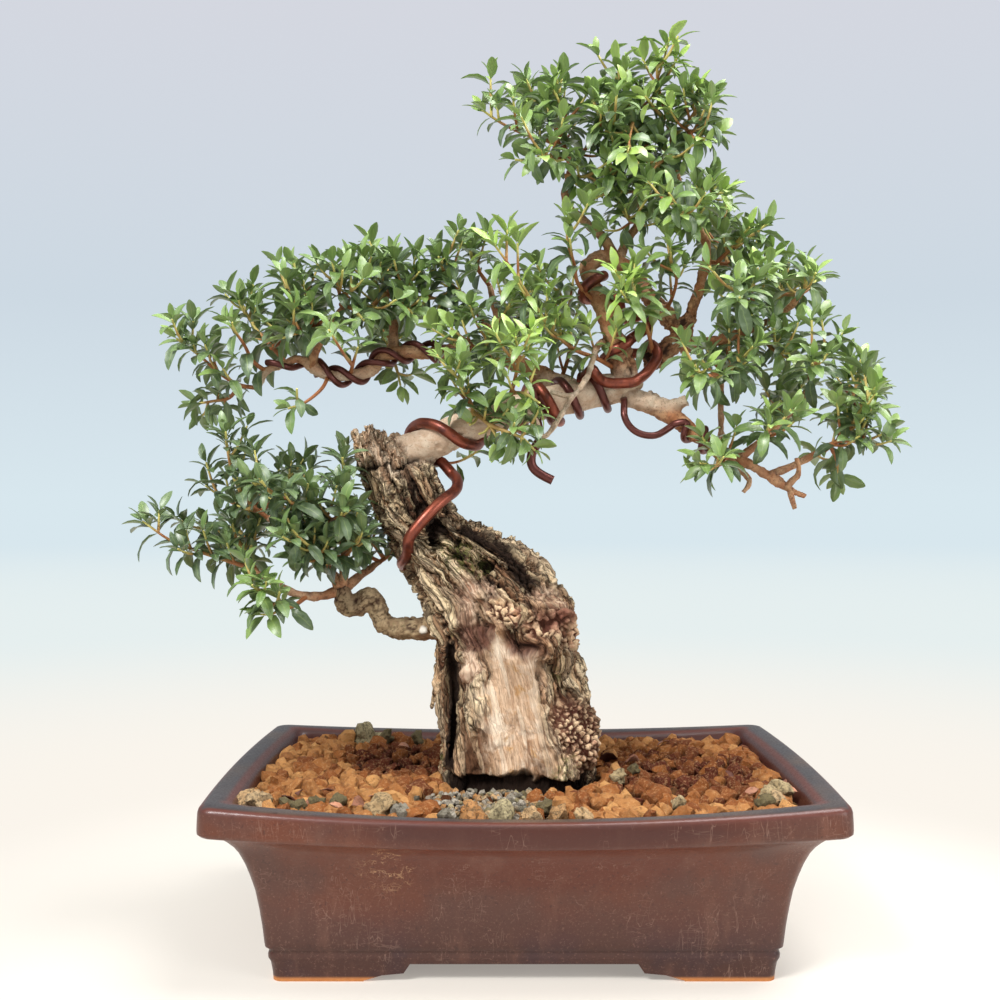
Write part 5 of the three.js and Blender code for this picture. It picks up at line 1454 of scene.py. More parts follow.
def dry_leaf_finish():
    finish = Finish("dry_leaf", roughness=0.6, specular_ior_level=0.35)
    brown = finish.where("tone", rgb(78, 38, 28), rgb(186, 130, 100))
    finish.colour(finish.lay(brown, (finish.noise(1.5, 3, 0.6), 0.5, 0.7, 0.5, (60, 30, 22))))
    finish.bump(finish.noise(1.2, 3, 0.6), 0.4, 0.3)
    return finish.material


def scatter_dry_leaves():
    """Lays curled dry leaves on the soil, a little above the grains."""
    draw = random.Random(41)
    points, faces = leaf_shape()[:2]
    leaves = []
    for x, y, heading, length in DRY_LEAVES:
        turn = math.radians(heading)
        axis = unit(np.array([math.cos(turn), math.sin(turn), draw.uniform(-0.1, 0.35)]))
        face = np.array([draw.gauss(0, 0.5), draw.gauss(0, 0.5), 1.0])
        leaves.append({
            "root": np.array([x, y, soil_height(x, y) + 1.6]), "axis": axis,
            "face": unit(face - axis * (face @ axis)), "length": length,
            "width": length * draw.uniform(0.3, 0.5), "bend": draw.uniform(0.6, 1.9),
        })
    tones = {"tone": [np.array([draw.random() ** 1.5 for _ in leaves])]}
    litter = copies_mesh("dry_leaves", [(place_leaves(points, leaves) * MM, faces)], tones)
    mend_normals(litter)
    shade(litter)
    dress(litter, ["soil"], dry_leaf_finish())


class BONSAI_OT_model_soil(bpy.types.Operator):
    """Fill the pot with clay grains and fine gravel, with a few dry leaves on them"""

    bl_idname = "bonsai.model_soil"
    bl_label = "Model Soil"

    def execute(self, context):
        model_soil(context.scene.bonsai.soil)
        scatter_dry_leaves()
        return {"FINISHED"}


# Trunk

def trunk_size(height):
    """Left, right, front and back of the trunk at each height, eased between the levels."""
    levels = np.array(TRUNK_LEVELS, float)
    fine = np.arange(56, 224)
    spread = np.exp(-0.5 * (np.arange(-6, 7) / 2.4) ** 2)
    sizes = []
    for column in range(1, 5):
        values = np.interp(fine, levels[:, 0], levels[:, column])
        values = np.convolve(np.pad(values, 6, mode="edge"), spread / spread.sum(), mode="valid")
        sizes.append(np.interp(height, fine, values))
    return sizes


def trunk_ring(height):
    left, right, front, back = trunk_size(height)
    turn = np.linspace(0, 2 * math.pi, TRUNK_SIDES, endpoint=False)
    cosine, sine = np.cos(turn), np.sin(turn)
    square = (np.abs(cosine) ** 2.4 + np.abs(sine) ** 2.4) ** (-1 / 2.4)
    furrow = np.cos(9 * turn + 0.05 * height) + 0.6 * np.cos(5 * turn - 0.09 * height)
    reach = square * (1 + FURROW_DEPTH * furrow * np.abs(sine))
    depth = np.where(sine < 0, -front, back)
    x = (left + right) / 2 + (right - left) / 2 * reach * cosine
    return np.column_stack([x, depth * reach * sine, np.full(TRUNK_SIDES, height)])


def spike(foot, tip, foot_radius, tip_radius):
    route = np.array([(*foot, foot_radius), (*tip, tip_radius)], float)
    route = np.array([route[0] + (route[1] - route[0]) * share for share in np.linspace(0, 1, 9)])
    return round_tubes("spike", [route], 10)


def fuse(piece, detail, soften):
    """One closed skin over joined parts, with softened meeting lines."""
    remesh = piece.modifiers.new("skin", "REMESH")
    remesh.mode = "VOXEL"
    remesh.voxel_size = detail
    remesh.adaptivity = 0
    smooth = piece.modifiers.new("soften", "SMOOTH")
    smooth.factor = 0.5
    smooth.iterations = soften
    apply_modifiers(piece)


def thin_out(piece, most):
    """Merges the faces that matter least, until about so many triangles are left."""
    thin = piece.modifiers.new("thin", "DECIMATE")
    thin.ratio = min(1, most / (2 * len(piece.data.vertices)))
    apply_modifiers(piece)


def trunk_zones(points, wander):
    """How far each point belongs to each kind of surface of the trunk."""
    points = points + 8 * wander
    x, y, z = points.T
    front = ease(-y, -4, 8)
    pale_left = np.interp(z, (66, 76, 100, 121, 146), (-26, -23, -16, -19, -25))
    pale_right = np.interp(z, (66, 76, 100, 121, 146), (16, 15, 9, 5, -9))
    pale_top = 119 + 27 * np.exp(-((x + 16) / 7) ** 2)
    dead = band(x, pale_left, pale_right, 2.6) * (1 - ease(z, pale_top - 4, pale_top + 6)) * front
    first_burl = patches(points, FIRST_BURL)
    lower_burls = patches(points, LOWER_BURLS)
    moss = patches(points, MOSS)
    pink = np.maximum(patches(points, PINK_BARK), 0.8 * patches(points, PINK_SHOULDER))
    recess = patches(points, RECESSES)
    smooth = ease(x, -54, -49) * ease(z, 200 - 0.36 * (x + 50), 204.5 - 0.36 * (x + 50))
    top = ease(z, 195, 203) * (1 - smooth)
    return dead, first_burl, lower_burls, moss, pink, recess, smooth, top


def plates(flow, wander, size, seed, crack_width):
    """Slivers of bark: a random level for each, 0 to 1, and 1 in the cracks between them."""
    edge, level = cell_bumps(flow / size + (0.35, 0.35, 0.15) * wander, seed)
    return level, 1 - ease(edge, 0.02, crack_width)


def carve_trunk(trunk):
    """Raises furrows, fibres and burls on the trunk, and keeps what each place is made of and where shade
    is painted.
    """
    points = read_points(trunk) / MM
    normals = read_normals(trunk)
    x, y, z = points.T
    left, right, front, back = trunk_size(z)
    half_width = (right - left) / 2
    turn = np.arctan2(y / np.maximum((back - front) / 2, 4), (x - (left + right) / 2) / half_width)
    lean = turn + 0.004 * (z - 100)
    around = np.clip(half_width, 13, 26)
    flow = np.column_stack([around * np.cos(lean), 20 * np.sin(lean), z])
    wander = np.column_stack([rough_noise(points / 13, 60 + axis, 4) - 0.5 for axis in range(3)])
    shiver = np.column_stack([rough_noise(points / 4.5, 66 + axis, 3) - 0.5 for axis in range(3)])
    zones = trunk_zones(points, wander + 0.3 * shiver)
    dead, first_burl, lower_burls, moss, pink, recess, smooth, top = zones
    flow = flow + wander * (2.6, 2.6, 14) * (1 - 0.75 * dead)[:, None]
    burl = np.maximum(first_burl, lower_burls) * (1 - smooth)
    dead, pink = dead * (1 - burl), pink * (1 - burl)
    bark = np.clip(1 - dead - burl - 0.75 * pink - smooth, 0, 1)
    upper = ease(z, 134, 152)
    level, crack = plates(flow, shiver, (4.8, 4.8, 30), 71, 0.17)
    small_level, small_crack = plates(flow, shiver, (2.2, 2.2, 15), 79, 0.24)
    broad = ridges(rough_noise(flow / (10, 10, 60), 3, 3))
    valley = 1 - ease(broad, 0.12, 0.55)
    fibre = ridges(rough_noise(flow / (2.6, 2.6, 26), 11, 3))
    strand = rough_noise(flow / (4.4, 4.4, 32), 35, 4)
    hair = rough_noise(flow / (1.1, 1.1, 9), 23, 2)
    lump = rough_noise(points / 8, 31, 4)
    grit = rough_noise(points / 1.9, 43, 2)
    calm = 1 - 0.55 * band(x, -60, -26, 2) * (1 - ease(z, 122, 132)) * ease(-y, 4, 12)
    fine = bark * calm * (
        1.0 + (1.7 + 1.3 * upper) * (level - 0.5) - (1.6 + 1.0 * upper) * crack
        + (1.0 + 0.6 * upper) * (small_level - 0.5) - (0.9 + 0.5 * upper) * small_crack
        - (1.3 + 1.7 * upper) * valley + 1.2 * (fibre - 0.5) + 1.4 * (strand - 0.5)
    )
    fine += pink * (1.1 * (small_level - 0.5) - 0.8 * small_crack + 1.2 * (lump - 0.5) - 1.0 * valley)
    worn = dead * (1 - band(x + 3 * wander[:, 0], -14, 6.5, 2.5))
    fine += dead * (0.45 * (fibre - 0.6) + 0.3 * (hair - 0.5) - 0.5 * small_crack * (small_level > 0.6))
    fine += worn * (0.8 * (level - 0.5) - 0.9 * crack + 0.7 * (small_level - 0.5) - 0.7 * small_crack)
    big_edge, big_tone = cell_bumps(points / 5.4 + 0.9 * shiver, 5)
    small_edge, small_tone = cell_bumps(points / 2.4 + 0.5 * shiver, 9)
    big_knob = ease(big_edge, 0.02, 0.42) * (0.4 + 0.7 * big_tone)
    small_knob = ease(small_edge, 0.02, 0.5) * (0.4 + 0.7 * small_tone)
    fine *= 1 - 0.6 * top
    fine += top * (2.4 * (big_tone - 0.5) - 1.4 * (1 - ease(big_edge, 0.02, 0.16)))
    fine += first_burl * (3.2 * (big_knob - 0.45) + 0.9 * (small_knob - 0.5))
    fine += lower_burls * (2.2 * (small_knob - 0.4) + 0.9 * (big_knob - 0.5))
    fine -= 0.64 * smooth * (1 - ease(rough_noise(points / 3, 47, 2), 0.06, 0.16))
    teeth_edge, teeth = cell_bumps(points / (5.5, 5.5, 60) + 0.5 * shiver, 91)
    hole = patches(points + 5 * wander, HOLES) * (1 - smooth)
    relief = fine - 3.6 * recess * (1 - smooth) - 3.4 * hole
    lumpy = (2.4 - 1.5 * bark) * (lump - 0.5) + (0.6 - 0.35 * bark) * (grit - 0.5)
    relief += (1 - 0.6 * dead - 0.65 * smooth) * lumpy
    relief += 0.3 * (hair - 0.5) * (1 - smooth)
    crack_line = 198.6 + 0.19 * (x + 66)
    seam = np.exp(-((z - crack_line - 2 * wander[:, 2]) / 1.1) ** 2)
    seam *= (1 - ease(x, -46, -41)) * (1 - ease(y, 2, 8))
    relief -= 2.0 * seam
    base = 1 - ease(z + 8 * wander[:, 2] + 3 * (strand - 0.5), 70, 72.6)
    undercut = base * ease(-y, 6, 18)
    relief -= 5 * undercut
    relief *= ease(z, 60, 64)
    moved = points + normals * relief[:, None]
    jagged = 4 * (teeth - 0.5) - 2 * (1 - ease(teeth_edge, 0.02, 0.2))
    moved[:, 2] += top * (1 - ease(x, -49, -44)) * jagged
    write_points(trunk, moved * MM)
    # Painted shade: near black in the furrows' bottoms, the holes, the crack line, the undercut foot and
    # the slot
    hollow = ease(-fine, 0.9, 3.0) * (1 - 0.7 * burl) * (1 - 0.55 * top) + hole
    slit = band(x - SLOT_SWAY * np.sin((z - 78) / 14), -31.9, -28.1, 0.6) * band(z, 73, 126, 3)
    hollow += seam + 1.2 * undercut + 1.2 * slit * ease(-y, 11, 15)
    # Painted shade along the right shoulder and down the dark run on the upper left
    shoulder = band(right - x + 6 * wander[:, 0], 3.5, 15, 2.5) * band(z, 148, 176, 3) * ease(-y, -2, 5)
    hollow += 0.95 * bark * np.maximum(shoulder, patches(points, PAINTED_SHADE_RUN)) * ease(strand, 0.78, 0.5)
    foot_run = dead * (1 - ease(z, 72, 82)) * ease(lump, 0.35, 0.6)
    store(
        trunk,
        hollow=np.clip(hollow, 0, 1),
        dead=np.maximum(dead, top * (0.5 + 0.4 * big_tone)),
        burl=burl,
        knob=np.maximum(first_burl * ease(big_knob, 0.06, 0.3), lower_burls * ease(small_knob, 0.16, 0.6)),
        moss=moss * (1 - smooth),
        pink=pink,
        smooth=smooth,
        fibre=fibre,
        rot=np.clip(worn * (0.55 + 0.45 * ease(strand, 0.35, 0.6)) + 0.7 * foot_run, 0, 1),
        bark=bark,
        # Where the painted shade of the recesses goes
        recess=recess * (1 - smooth),
        maroon=patches(points + 4 * wander, MAROON_BURL),
        tone=np.clip(0.5 * level + 0.4 * small_level + 0.16 * fine, 0, 1),
        flow=flow * MM,
    )


def trunk_finish(look):
    finish = Finish("old_trunk", roughness=0.92, specular_ior_level=0.2)
    blot = finish.noise(6, 4, 0.65)
    moss = finish.span(finish.noise(2.2, 4, 0.7), 0.45, 0.6, 0, 0.7)
    speck = finish.noise(0.8, 4, 0.7)
    finish.follow("flow")
    fine = finish.noise(0.9, 5, 0.7, stretch=(1, 1, 7))
    thread = finish.noise(0.55, 4, 0.7, stretch=(1, 1, 24))
    ochre = finish.noise(7, 4, 0.7, stretch=(1, 1, 1.6))
    grain = finish.noise(0.75, 4, 0.65, stretch=(1, 1, 14))
    stain = finish.noise(3.6, 4, 0.7, stretch=(1, 1, 7))
    sliver = finish.cells(1.6, "DISTANCE_TO_EDGE", stretch=(1, 1, 11))
    splinter = finish.cells(0.8, "DISTANCE_TO_EDGE", stretch=(1, 1, 14))
    shades = finish.cells(1.6, "F1", stretch=(1, 1, 11), output="Color")
    bark = finish.ramp(finish.attribute("tone"), [
        (0.08, rgb(96, 66, 48)), (0.32, rgb(164, 124, 92)), (0.56, look.ridge),
        (0.85, rgb(242, 216, 178)),
    ])
    bark = finish.lay(
        bark,
        (blot, 0.54, 0.7, 0.35, (158, 138, 116)),
        (shades, 0.5, 0.25, 0.55, (106, 70, 48)),
        (shades, 0.56, 0.75, 0.6, (230, 206, 164)),
        (fine, 0.52, 0.64, 0.5, (62, 44, 32)),
        (splinter, 0.09, 0, 0.6, (58, 38, 26)),
        (sliver, 0.09, 0.01, 0.8, (40, 26, 18)),
        (thread, 0.56, 0.66, 0.4, (228, 204, 168)),
    )
    dead = finish.where("fibre", rgb(206, 166, 130), look.dead)
    dead = finish.lay(
        dead,
        (finish.noise(8, 4, 0.6), 0.48, 0.64, 0.65, (246, 228, 204)),
        (ochre, 0.56, 0.66, 0.7, (206, 152, 84)),
        (grain, 0.52, 0.62, 0.4, (150, 108, 78)),
        (stain, 0.54, 0.66, 0.7, (126, 88, 64)),
        (splinter, 0.06, 0, 0.45, (136, 96, 70)),
        (shades, 0.46, 0.3, 0.25, (176, 134, 100)),
        (shades, 0.56, 0.7, 0.4, (250, 232, 206)),
    )
    worn = finish.fade(shades, 0.3, 0.7, rgb(120, 84, 60), rgb(196, 164, 130))
    worn = finish.lay(
        worn,
        (thread, 0.5, 0.62, 0.6, (92, 62, 44)),
        (sliver, 0.07, 0, 0.6, (64, 42, 29)),
    )
    dead = finish.where("rot", dead, worn)
    pink = finish.fade(fine, 0.42, 0.66, rgb(228, 200, 172), rgb(176, 136, 110))
    pink = finish.lay(
        pink,
        (blot, 0.5, 0.66, 0.5, (206, 170, 144)),
        (shades, 0.5, 0.25, 0.5, (146, 104, 82)),
        (sliver, 0.08, 0, 0.5, (104, 68, 50)),
    )
    colour = finish.where("pink", bark, pink)
    colour = finish.where("dead", colour, dead)
    knob = finish.fade(blot, 0.4, 0.66, rgb(240, 208, 168), rgb(222, 172, 140))
    knob = finish.lay(knob, (fine, 0.52, 0.7, 0.5, (158, 112, 84)))
    knob = finish.where("maroon", knob, rgb(108, 50, 42), 0.8)
    # Between the knobs the burl is dark red-brown: partly its own colour, partly painted shade in the
    # creases
    knob = finish.where("knob", rgb(84, 48, 36), knob)
    colour = finish.where("burl", colour, knob)
    # Painted shade: dark purple-brown in the recesses under the first burl and beside the dead face
    painted_recess_shade = finish.fade(fine, 0.4, 0.7, rgb(128, 88, 72), rgb(92, 60, 52))
    colour = finish.where("recess", colour, painted_recess_shade, 0.9)
    skin = finish.fade(blot, 0.4, 0.66, look.smooth, rgb(224, 204, 180))
    skin = finish.lay(
        skin,
        (finish.noise(3, 3, 0.6), 0.55, 0.7, 0.5, (196, 156, 124)),
        (speck, 0.54, 0.68, 0.5, (134, 106, 84)),
    )
    colour = finish.where("smooth", colour, skin)
    # Painted shade: the crevice colour in the furrows, holes, slot and undercut
    colour = finish.where("hollow", colour, look.painted_crevice_shade)
    moss = finish.times(finish.attribute("moss"), moss)
    colour = finish.mix(moss, colour, finish.mix(fine, rgb(76, 84, 36), rgb(140, 142, 76)))
    finish.colour(colour)
    rough = finish.maths("SUBTRACT", 1, finish.attribute("smooth"))
    finish.bump(finish.times(finish.noise(0.6, 4, 0.75), rough), 0.8, 0.4)
    finish.bump(finish.times(grain, rough), 0.5, 0.4)
    finish.bump(finish.times(fine, rough), 0.8, 0.6)
    finish.bump(finish.times(finish.span(sliver, 0, 0.2), finish.attribute("bark")), 0.9, 0.9)
    finish.bump(finish.times(finish.span(splinter, 0, 0.2), rough), 0.7, 0.4)
    return finish.material


def model_trunk(look):
    heights = np.unique(np.r_[np.arange(60, 215, 3.0), 215])
    trunk = ring_stack("trunk_wood", [trunk_ring(height) for height in heights])
    knobs = [ball(x, y, z, 0.9 * radius) for x, y, z, radius in BURL_KNOBS]
    spikes = [spike(row[:3], row[3:6], row[6], row[7]) for row in DEAD_SPIKES]
    branch = round_tubes("branch", [smooth_route(LIMBS["first_branch"], 1.6)], 20)
    join(trunk, *knobs, *spikes, spike(*FLAP), branch)
    fuse(trunk, 1.1 * MM, 2)
    slot = ring_stack("slot", [
        [(x + SLOT_SWAY * math.sin((z - 78) / 14), y, z) for x, y in SLOT_OUTLINE]
        for z in np.linspace(SLOT_FOOT, SLOT_TOP, 10)
    ])
    cut(trunk, slot)
    cut(trunk, ball(-35.5, -19, 170, 5, (0.8, 1.4, 1.9)))
    cut(trunk, ball(-16.5, -22, 159.5, 4.2, (1.5, 1.3, 0.9)))
    fuse(trunk, look.trunk_detail, 1)
    carve_trunk(trunk)
    thin_out(trunk, TRUNK_FACES)
    shade(trunk)
    dress(trunk, ["tree_wood"], trunk_finish(look))


class BONSAI_OT_model_trunk(bpy.types.Operator):
    """Model the furrowed trunk with its dead face, burls, slot and broken top"""

    bl_idname = "bonsai.model_trunk"
    bl_label = "Model Trunk"

    def execute(self, context):
        model_trunk(context.scene.bonsai.wood)
        return {"FINISHED"}


# Branches and twigs

def branch_finish(look):
    finish = Finish("branch_bark", roughness=0.85, specular_ior_level=0.25)
    smooth = finish.attribute("smooth")
    blot = finish.noise(5, 4, 0.65)
    speck = finish.noise(0.8, 4, 0.7)
    pale = finish.fade(blot, 0.4, 0.66, look.smooth, rgb(214, 194, 170))
    pale = finish.lay(pale, (speck, 0.52, 0.68, 0.7, (122, 94, 72)))
    old = finish.fade(blot, 0.42, 0.6, rgb(150, 124, 94), rgb(184, 160, 124))
    old = finish.lay(
        old,
        (finish.noise(1.8, 4, 0.7), 0.52, 0.66, 0.6, (92, 70, 50)),
        (finish.noise(3.4, 4, 0.7), 0.56, 0.66, 0.4, (124, 124, 80)),
    )
    flaky = finish.fade(blot, 0.42, 0.62, look.twig, rgb(186, 138, 96))
    flaky = finish.lay(flaky, (finish.noise(1.6, 4, 0.7), 0.5, 0.66, 0.75, (98, 56, 36)))
    colour = finish.mix(smooth, flaky, pale)
    colour = finish.where("weathered", colour, old)
    # Painted shade in the branches' low places, and dark flecks on the twigs
    colour = finish.where("hollow", colour, rgb(66, 44, 34))
    colour = finish.where("pruned", colour, rgb(240, 232, 218))
    finish.colour(colour)
    finish.bump(finish.noise(0.6, 4, 0.7), 0.5, 0.25)
    finish.bump(finish.noise(2.2, 3, 0.6), 0.5, 0.5)
    return finish.material


def model_branches(look):
    routes = [smooth_route(LIMBS[name], 1.6) for name in THICK_LIMBS]
    branches = round_tubes("branch_wood", routes, 20)
    pruned = ball(*PRUNED_END, 2.6, (1, 0.8, 1))
    join(branches, pruned)
    fuse(branches, look.branch_detail, 3)
    points = read_points(branches) / MM
    normals = read_normals(branches)
    x, y, z = points.T
    lump = rough_noise(points / 6, 131, 4)
    scale_edge, scale_level = cell_bumps(points / 3.2 + 0.7 * (lump - 0.5)[:, None], 137)
    flake = 1 - ease(scale_edge, 0.02, 0.3)
    grit = rough_noise(points / 1.7, 141, 2)
    weathered = patch(points, (-62, -8, 138), (38, 18, 22))
    gnarled = np.maximum(patch(points, (62, 3, 252), (30, 20, 26)), weathered)
    scaly = np.clip(0.35 + gnarled, 0, 1)
    fine = scaly * (0.9 * (scale_level - 0.5) - 0.7 * flake)
    relief = fine * (1 - 0.5 * weathered) + 1.2 * (lump - 0.5) + 0.4 * (grit - 0.5)
    relief += gnarled * (1.6 - 0.8 * weathered) * (rough_noise(points / 3.4, 151, 3) - 0.5)
    write_points(branches, (points + normals * relief[:, None]) * MM)
    smooth = (1 - ease(x, 72, 80)) * ease(z, 222, 228) * (1 - ease(z, 236, 246)) * (1 - ease(y, 9, 13))
    # Painted shade: darker in the low places between the flakes and among the low lumps
    dark = ease(-fine, 0.3, 1.1) * 0.8 + gnarled * (1 - 0.7 * weathered) * ease(0.4 - lump, 0, 0.2)
    store(
        branches,
        smooth=np.clip(smooth + 0.25 * rough_noise(points / 12, 157, 2), 0, 1),
        hollow=np.clip(dark, 0, 1),
        weathered=weathered,
        pruned=ease(-y, 12.2, 13.4) * patch(points, PRUNED_END, (2.3, 6, 2.3)),
    )
    shade(branches)
    thin = [name for name in LIMBS if name not in THICK_LIMBS and name != "first_branch"]
    twigs = round_tubes("twig_wood", [smooth_route(LIMBS[name], 1.4) for name in thin], 10)
    points = read_points(twigs) / MM
    relief = 0.8 * (rough_noise(points / 2.6, 161, 3) - 0.5)
    write_points(twigs, (points + read_normals(twigs) * relief[:, None]) * MM)
    dead_twigs = patch(points, (12, -20, 232), (36, 12, 34)) * ease(-points[:, 1], 12, 15)
    store(
        twigs,
        smooth=np.clip(0.4 * rough_noise(points / 16, 163, 2) + dead_twigs, 0, 1),
        # Dark flecks at random on the twigs' bark
        hollow=0.5 * ease(rough_noise(points / 2.2, 167, 3), 0.6, 0.9),
        weathered=np.zeros(len(points)),
        pruned=np.zeros(len(points)),
    )
    shade(twigs)
    material = branch_finish(look)
    dress(branches, ["tree_wood"], material)
    dress(twigs, ["tree_wood"], material)


class BONSAI_OT_model_branches(bpy.types.Operator):
    """Model the branches, the twisted arch and the bare twigs"""

    bl_idname = "bonsai.model_branches"
    bl_label = "Model Branches"

    def execute(self, context):
        model_branches(context.scene.bonsai.wood)
        return {"FINISHED"}


# Training wires

def hug_trunk(path, radius):
    """Draws the part of a route that passes the trunk in, until it lies on its bark."""
    left, right, front, back = trunk_size(path[:, 2])
    middle = np.column_stack([(left + right) / 2, (front + back) / 2])
    half = np.column_stack([(right - left) / 2, (back - front) / 2]) + 0.5 * radius
    offset = path[:, :2] - middle
    reach = np.linalg.norm(offset / half, axis=1)
    share = (1 - ease(path[:, 2], 158, 172)) * np.clip(reach - 1, 0, 1) / np.maximum(reach, 1)
    drawn = path.copy()
    drawn[:, :2] -= offset * share[:, None]
    return drawn


def snug(path, radius):
    """Draws a wire's route in until it lies on the bark of the limb next to it."""
    axes = np.vstack([smooth_route(limb, 1.0) for limb in LIMBS.values()])
    drawn = path.copy()
    for _ in range(3):
        away = drawn[:, None] - axes[None, :, :3]
        distance = np.linalg.norm(away, axis=2)
        room = distance - axes[None, :, 3]
        nearest = room.argmin(axis=1)
        picked = np.arange(len(drawn))
        gap = room[picked, nearest] - 0.85 * radius
        share = (1 - ease(gap, 3.5, 6.5)) * gap
        drawn -= away[picked, nearest] / distance[picked, nearest][:, None] * share[:, None]
        eased = drawn.copy()
        eased[1:-1] = 0.25 * drawn[:-2] + 0.5 * drawn[1:-1] + 0.25 * drawn[2:]
        drawn = eased
    return drawn


def wire_finish(name, colour):
    finish = Finish(name, metallic=0.75, coat_weight=0.2, coat_roughness=0.25)
    streak = finish.noise(6, 4, 0.65)
    scuff = finish.noise(0.8, 3, 0.7)
    tint = finish.fade(streak, 0.4, 0.7, colour, rgb(96, 52, 46))
    tint = finish.lay(tint, (scuff, 0.62, 0.76, 0.5, (186, 140, 120)))
    finish.colour(tint)
    finish.gloss(finish.span(scuff, 0.3, 0.7, 0.34, 0.52))
    finish.bump(streak, 0.15, 0.4)
    return finish.material


def model_wires(look):
    bright = wire_finish("copper_brown_wire", look.bright)
    dull = wire_finish("plum_brown_wire", look.dull)
    for name, (route, limb, start, end, turns, angle, radius) in WIRES.items():
        points = [np.array(route, float).reshape(-1, 3)]
        if limb:
            points.append(wrap_route(LIMBS[limb], start, end, turns, angle, radius))
        path = snug(smooth_route(np.vstack(points), 1.5), radius)
        if name == "heavy_wire":
            path = hug_trunk(path, radius)
        radii = np.full(len(path), float(radius))
        wire = round_tubes("bent_" + name, [np.column_stack([path, radii])], 14)
        shade(wire, WIRE_SHARP)
        nodes = [name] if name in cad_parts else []
        dress(wire, nodes, bright if radius > THICK_WIRE else dull)


class BONSAI_OT_model_wires(bpy.types.Operator):
    """Bend the training wires round the trunk and branches"""

    bl_idname = "bonsai.model_wires"
    bl_label = "Bend Wires"

    def execute(self, context):
        model_wires(context.scene.bonsai.wires)
        return {"FINISHED"}


# Leafy sprays

def is_clear(x, y, z):
    """Whether a place lies in front of wood and wires that show."""
    return any(
        left < x < right and low < z < high and y < 12 for left, right, low, high in CLEAR_STRETCHES
    )


def add_leaf(leaves, draw, root, tangent, out, back, look, maturity_and_shade):
    """One leaf of a pair: small and upright near the shoot's tip, long and drooping further back."""
    share = min(1, back / 9)
    opening = 0.36 + 0.9 * share ** 0.6 + draw.uniform(-0.2, 0.25)
    axis = unit(tangent * math.cos(opening) + out * math.sin(opening) + UP * (0.16 - 0.22 * share))
    if is_clear(*(root + 6 * axis)):
        return
    face = tangent * 0.6 + UP * (0.6 + 0.4 * share) + 0.2 * np.array([draw.gauss(0, 1) for _ in range(3)])
    face = unit(face - axis * (face @ axis))
    length = look.length / MM * (0.62 + 0.38 * share ** 0.6) * draw.uniform(0.76, 1.24)
    round_leaf = draw.random() < 0.16 * share
    if round_leaf:
        length *= 0.66
    width = length * look.width * (1.5 if round_leaf else 1.15 - 0.15 * share) * draw.uniform(0.88, 1.12)
    slender = min(1, max(0, -maturity_and_shade / YOUTH))
    length *= 1 + 0.15 * slender
    width *= 1 - 0.25 * slender
    leaves.append({
        "root": root, "axis": axis, "face": face, "length": length, "width": width,
        "bend": 0.25 + 0.85 * share * draw.uniform(0.4, 1.4),
        "age_and_shade": min(1, max(0, maturity_and_shade + max(0, (back - 2) / 20) ** 0.8 * draw.uniform(0.7, 1.3))),
        "tone": draw.random(),
    })


def grow_shoot(route, draw, look, leaves, stems, ripeness_and_shade, side_shoot=False):
    """Leaves in crossed pairs from a shoot's tip back, and side shoots from the older leaf bases."""
    # The group's number is partly ripeness and partly painted shade
    maturity_and_shade = ripeness_and_shade + (draw.uniform(0, 0.4) if side_shoot else draw.uniform(0, 0.12))
    path = smooth_route(route, 1.0)
    tangents = tangents_of(path)
    sides = sides_of(tangents)
    reach = np.r_[0, np.cumsum(np.linalg.norm(np.diff(path, axis=0), axis=1))]
    length = reach[-1]
    base = 0.68 if side_shoot else 1.1
    radii = base + (0.46 - base) * (reach / length) ** 0.8
    stems.append((np.column_stack([path, radii]), path[-1]))
    turn = draw.uniform(0, math.pi)
    back = 0.3
    while back < length - (1.2 if side_shoot else 2.5):
        index = int(np.searchsorted(reach, length - back))
        tangent, side = tangents[index], sides[index]
        other = np.cross(tangent, side)
        for half_turn in (0, math.pi):
            angle = turn + half_turn + draw.uniform(-0.2, 0.2)
            out = side * math.cos(angle) + other * math.sin(angle)
            bare = 0.1 + 0.4 * min(1, back / 40)
            if back < 7 or draw.random() > bare:
                root = path[index] + out * radii[index] * 0.7
                add_leaf(leaves, draw, root, tangent, out, back, look, maturity_and_shade)
            if not side_shoot and back > 5 and draw.random() < 0.48 and not is_clear(*path[index]):
                reach_out = draw.uniform(5, 16)
                start = path[index]
                lean = unit(out * 0.9 + tangent * 0.55 + UP * 0.45)
                middle = start + lean * reach_out * 0.5
                end = start + lean * reach_out + UP * reach_out * 0.22
                grow_shoot([start, middle, end], draw, look, leaves, stems, ripeness_and_shade, True)
        back += (2.2 if back < 3 else 3.5) + 1.5 * min(1, back / 20) + draw.uniform(-0.4, 0.6)
        turn += math.pi / 2


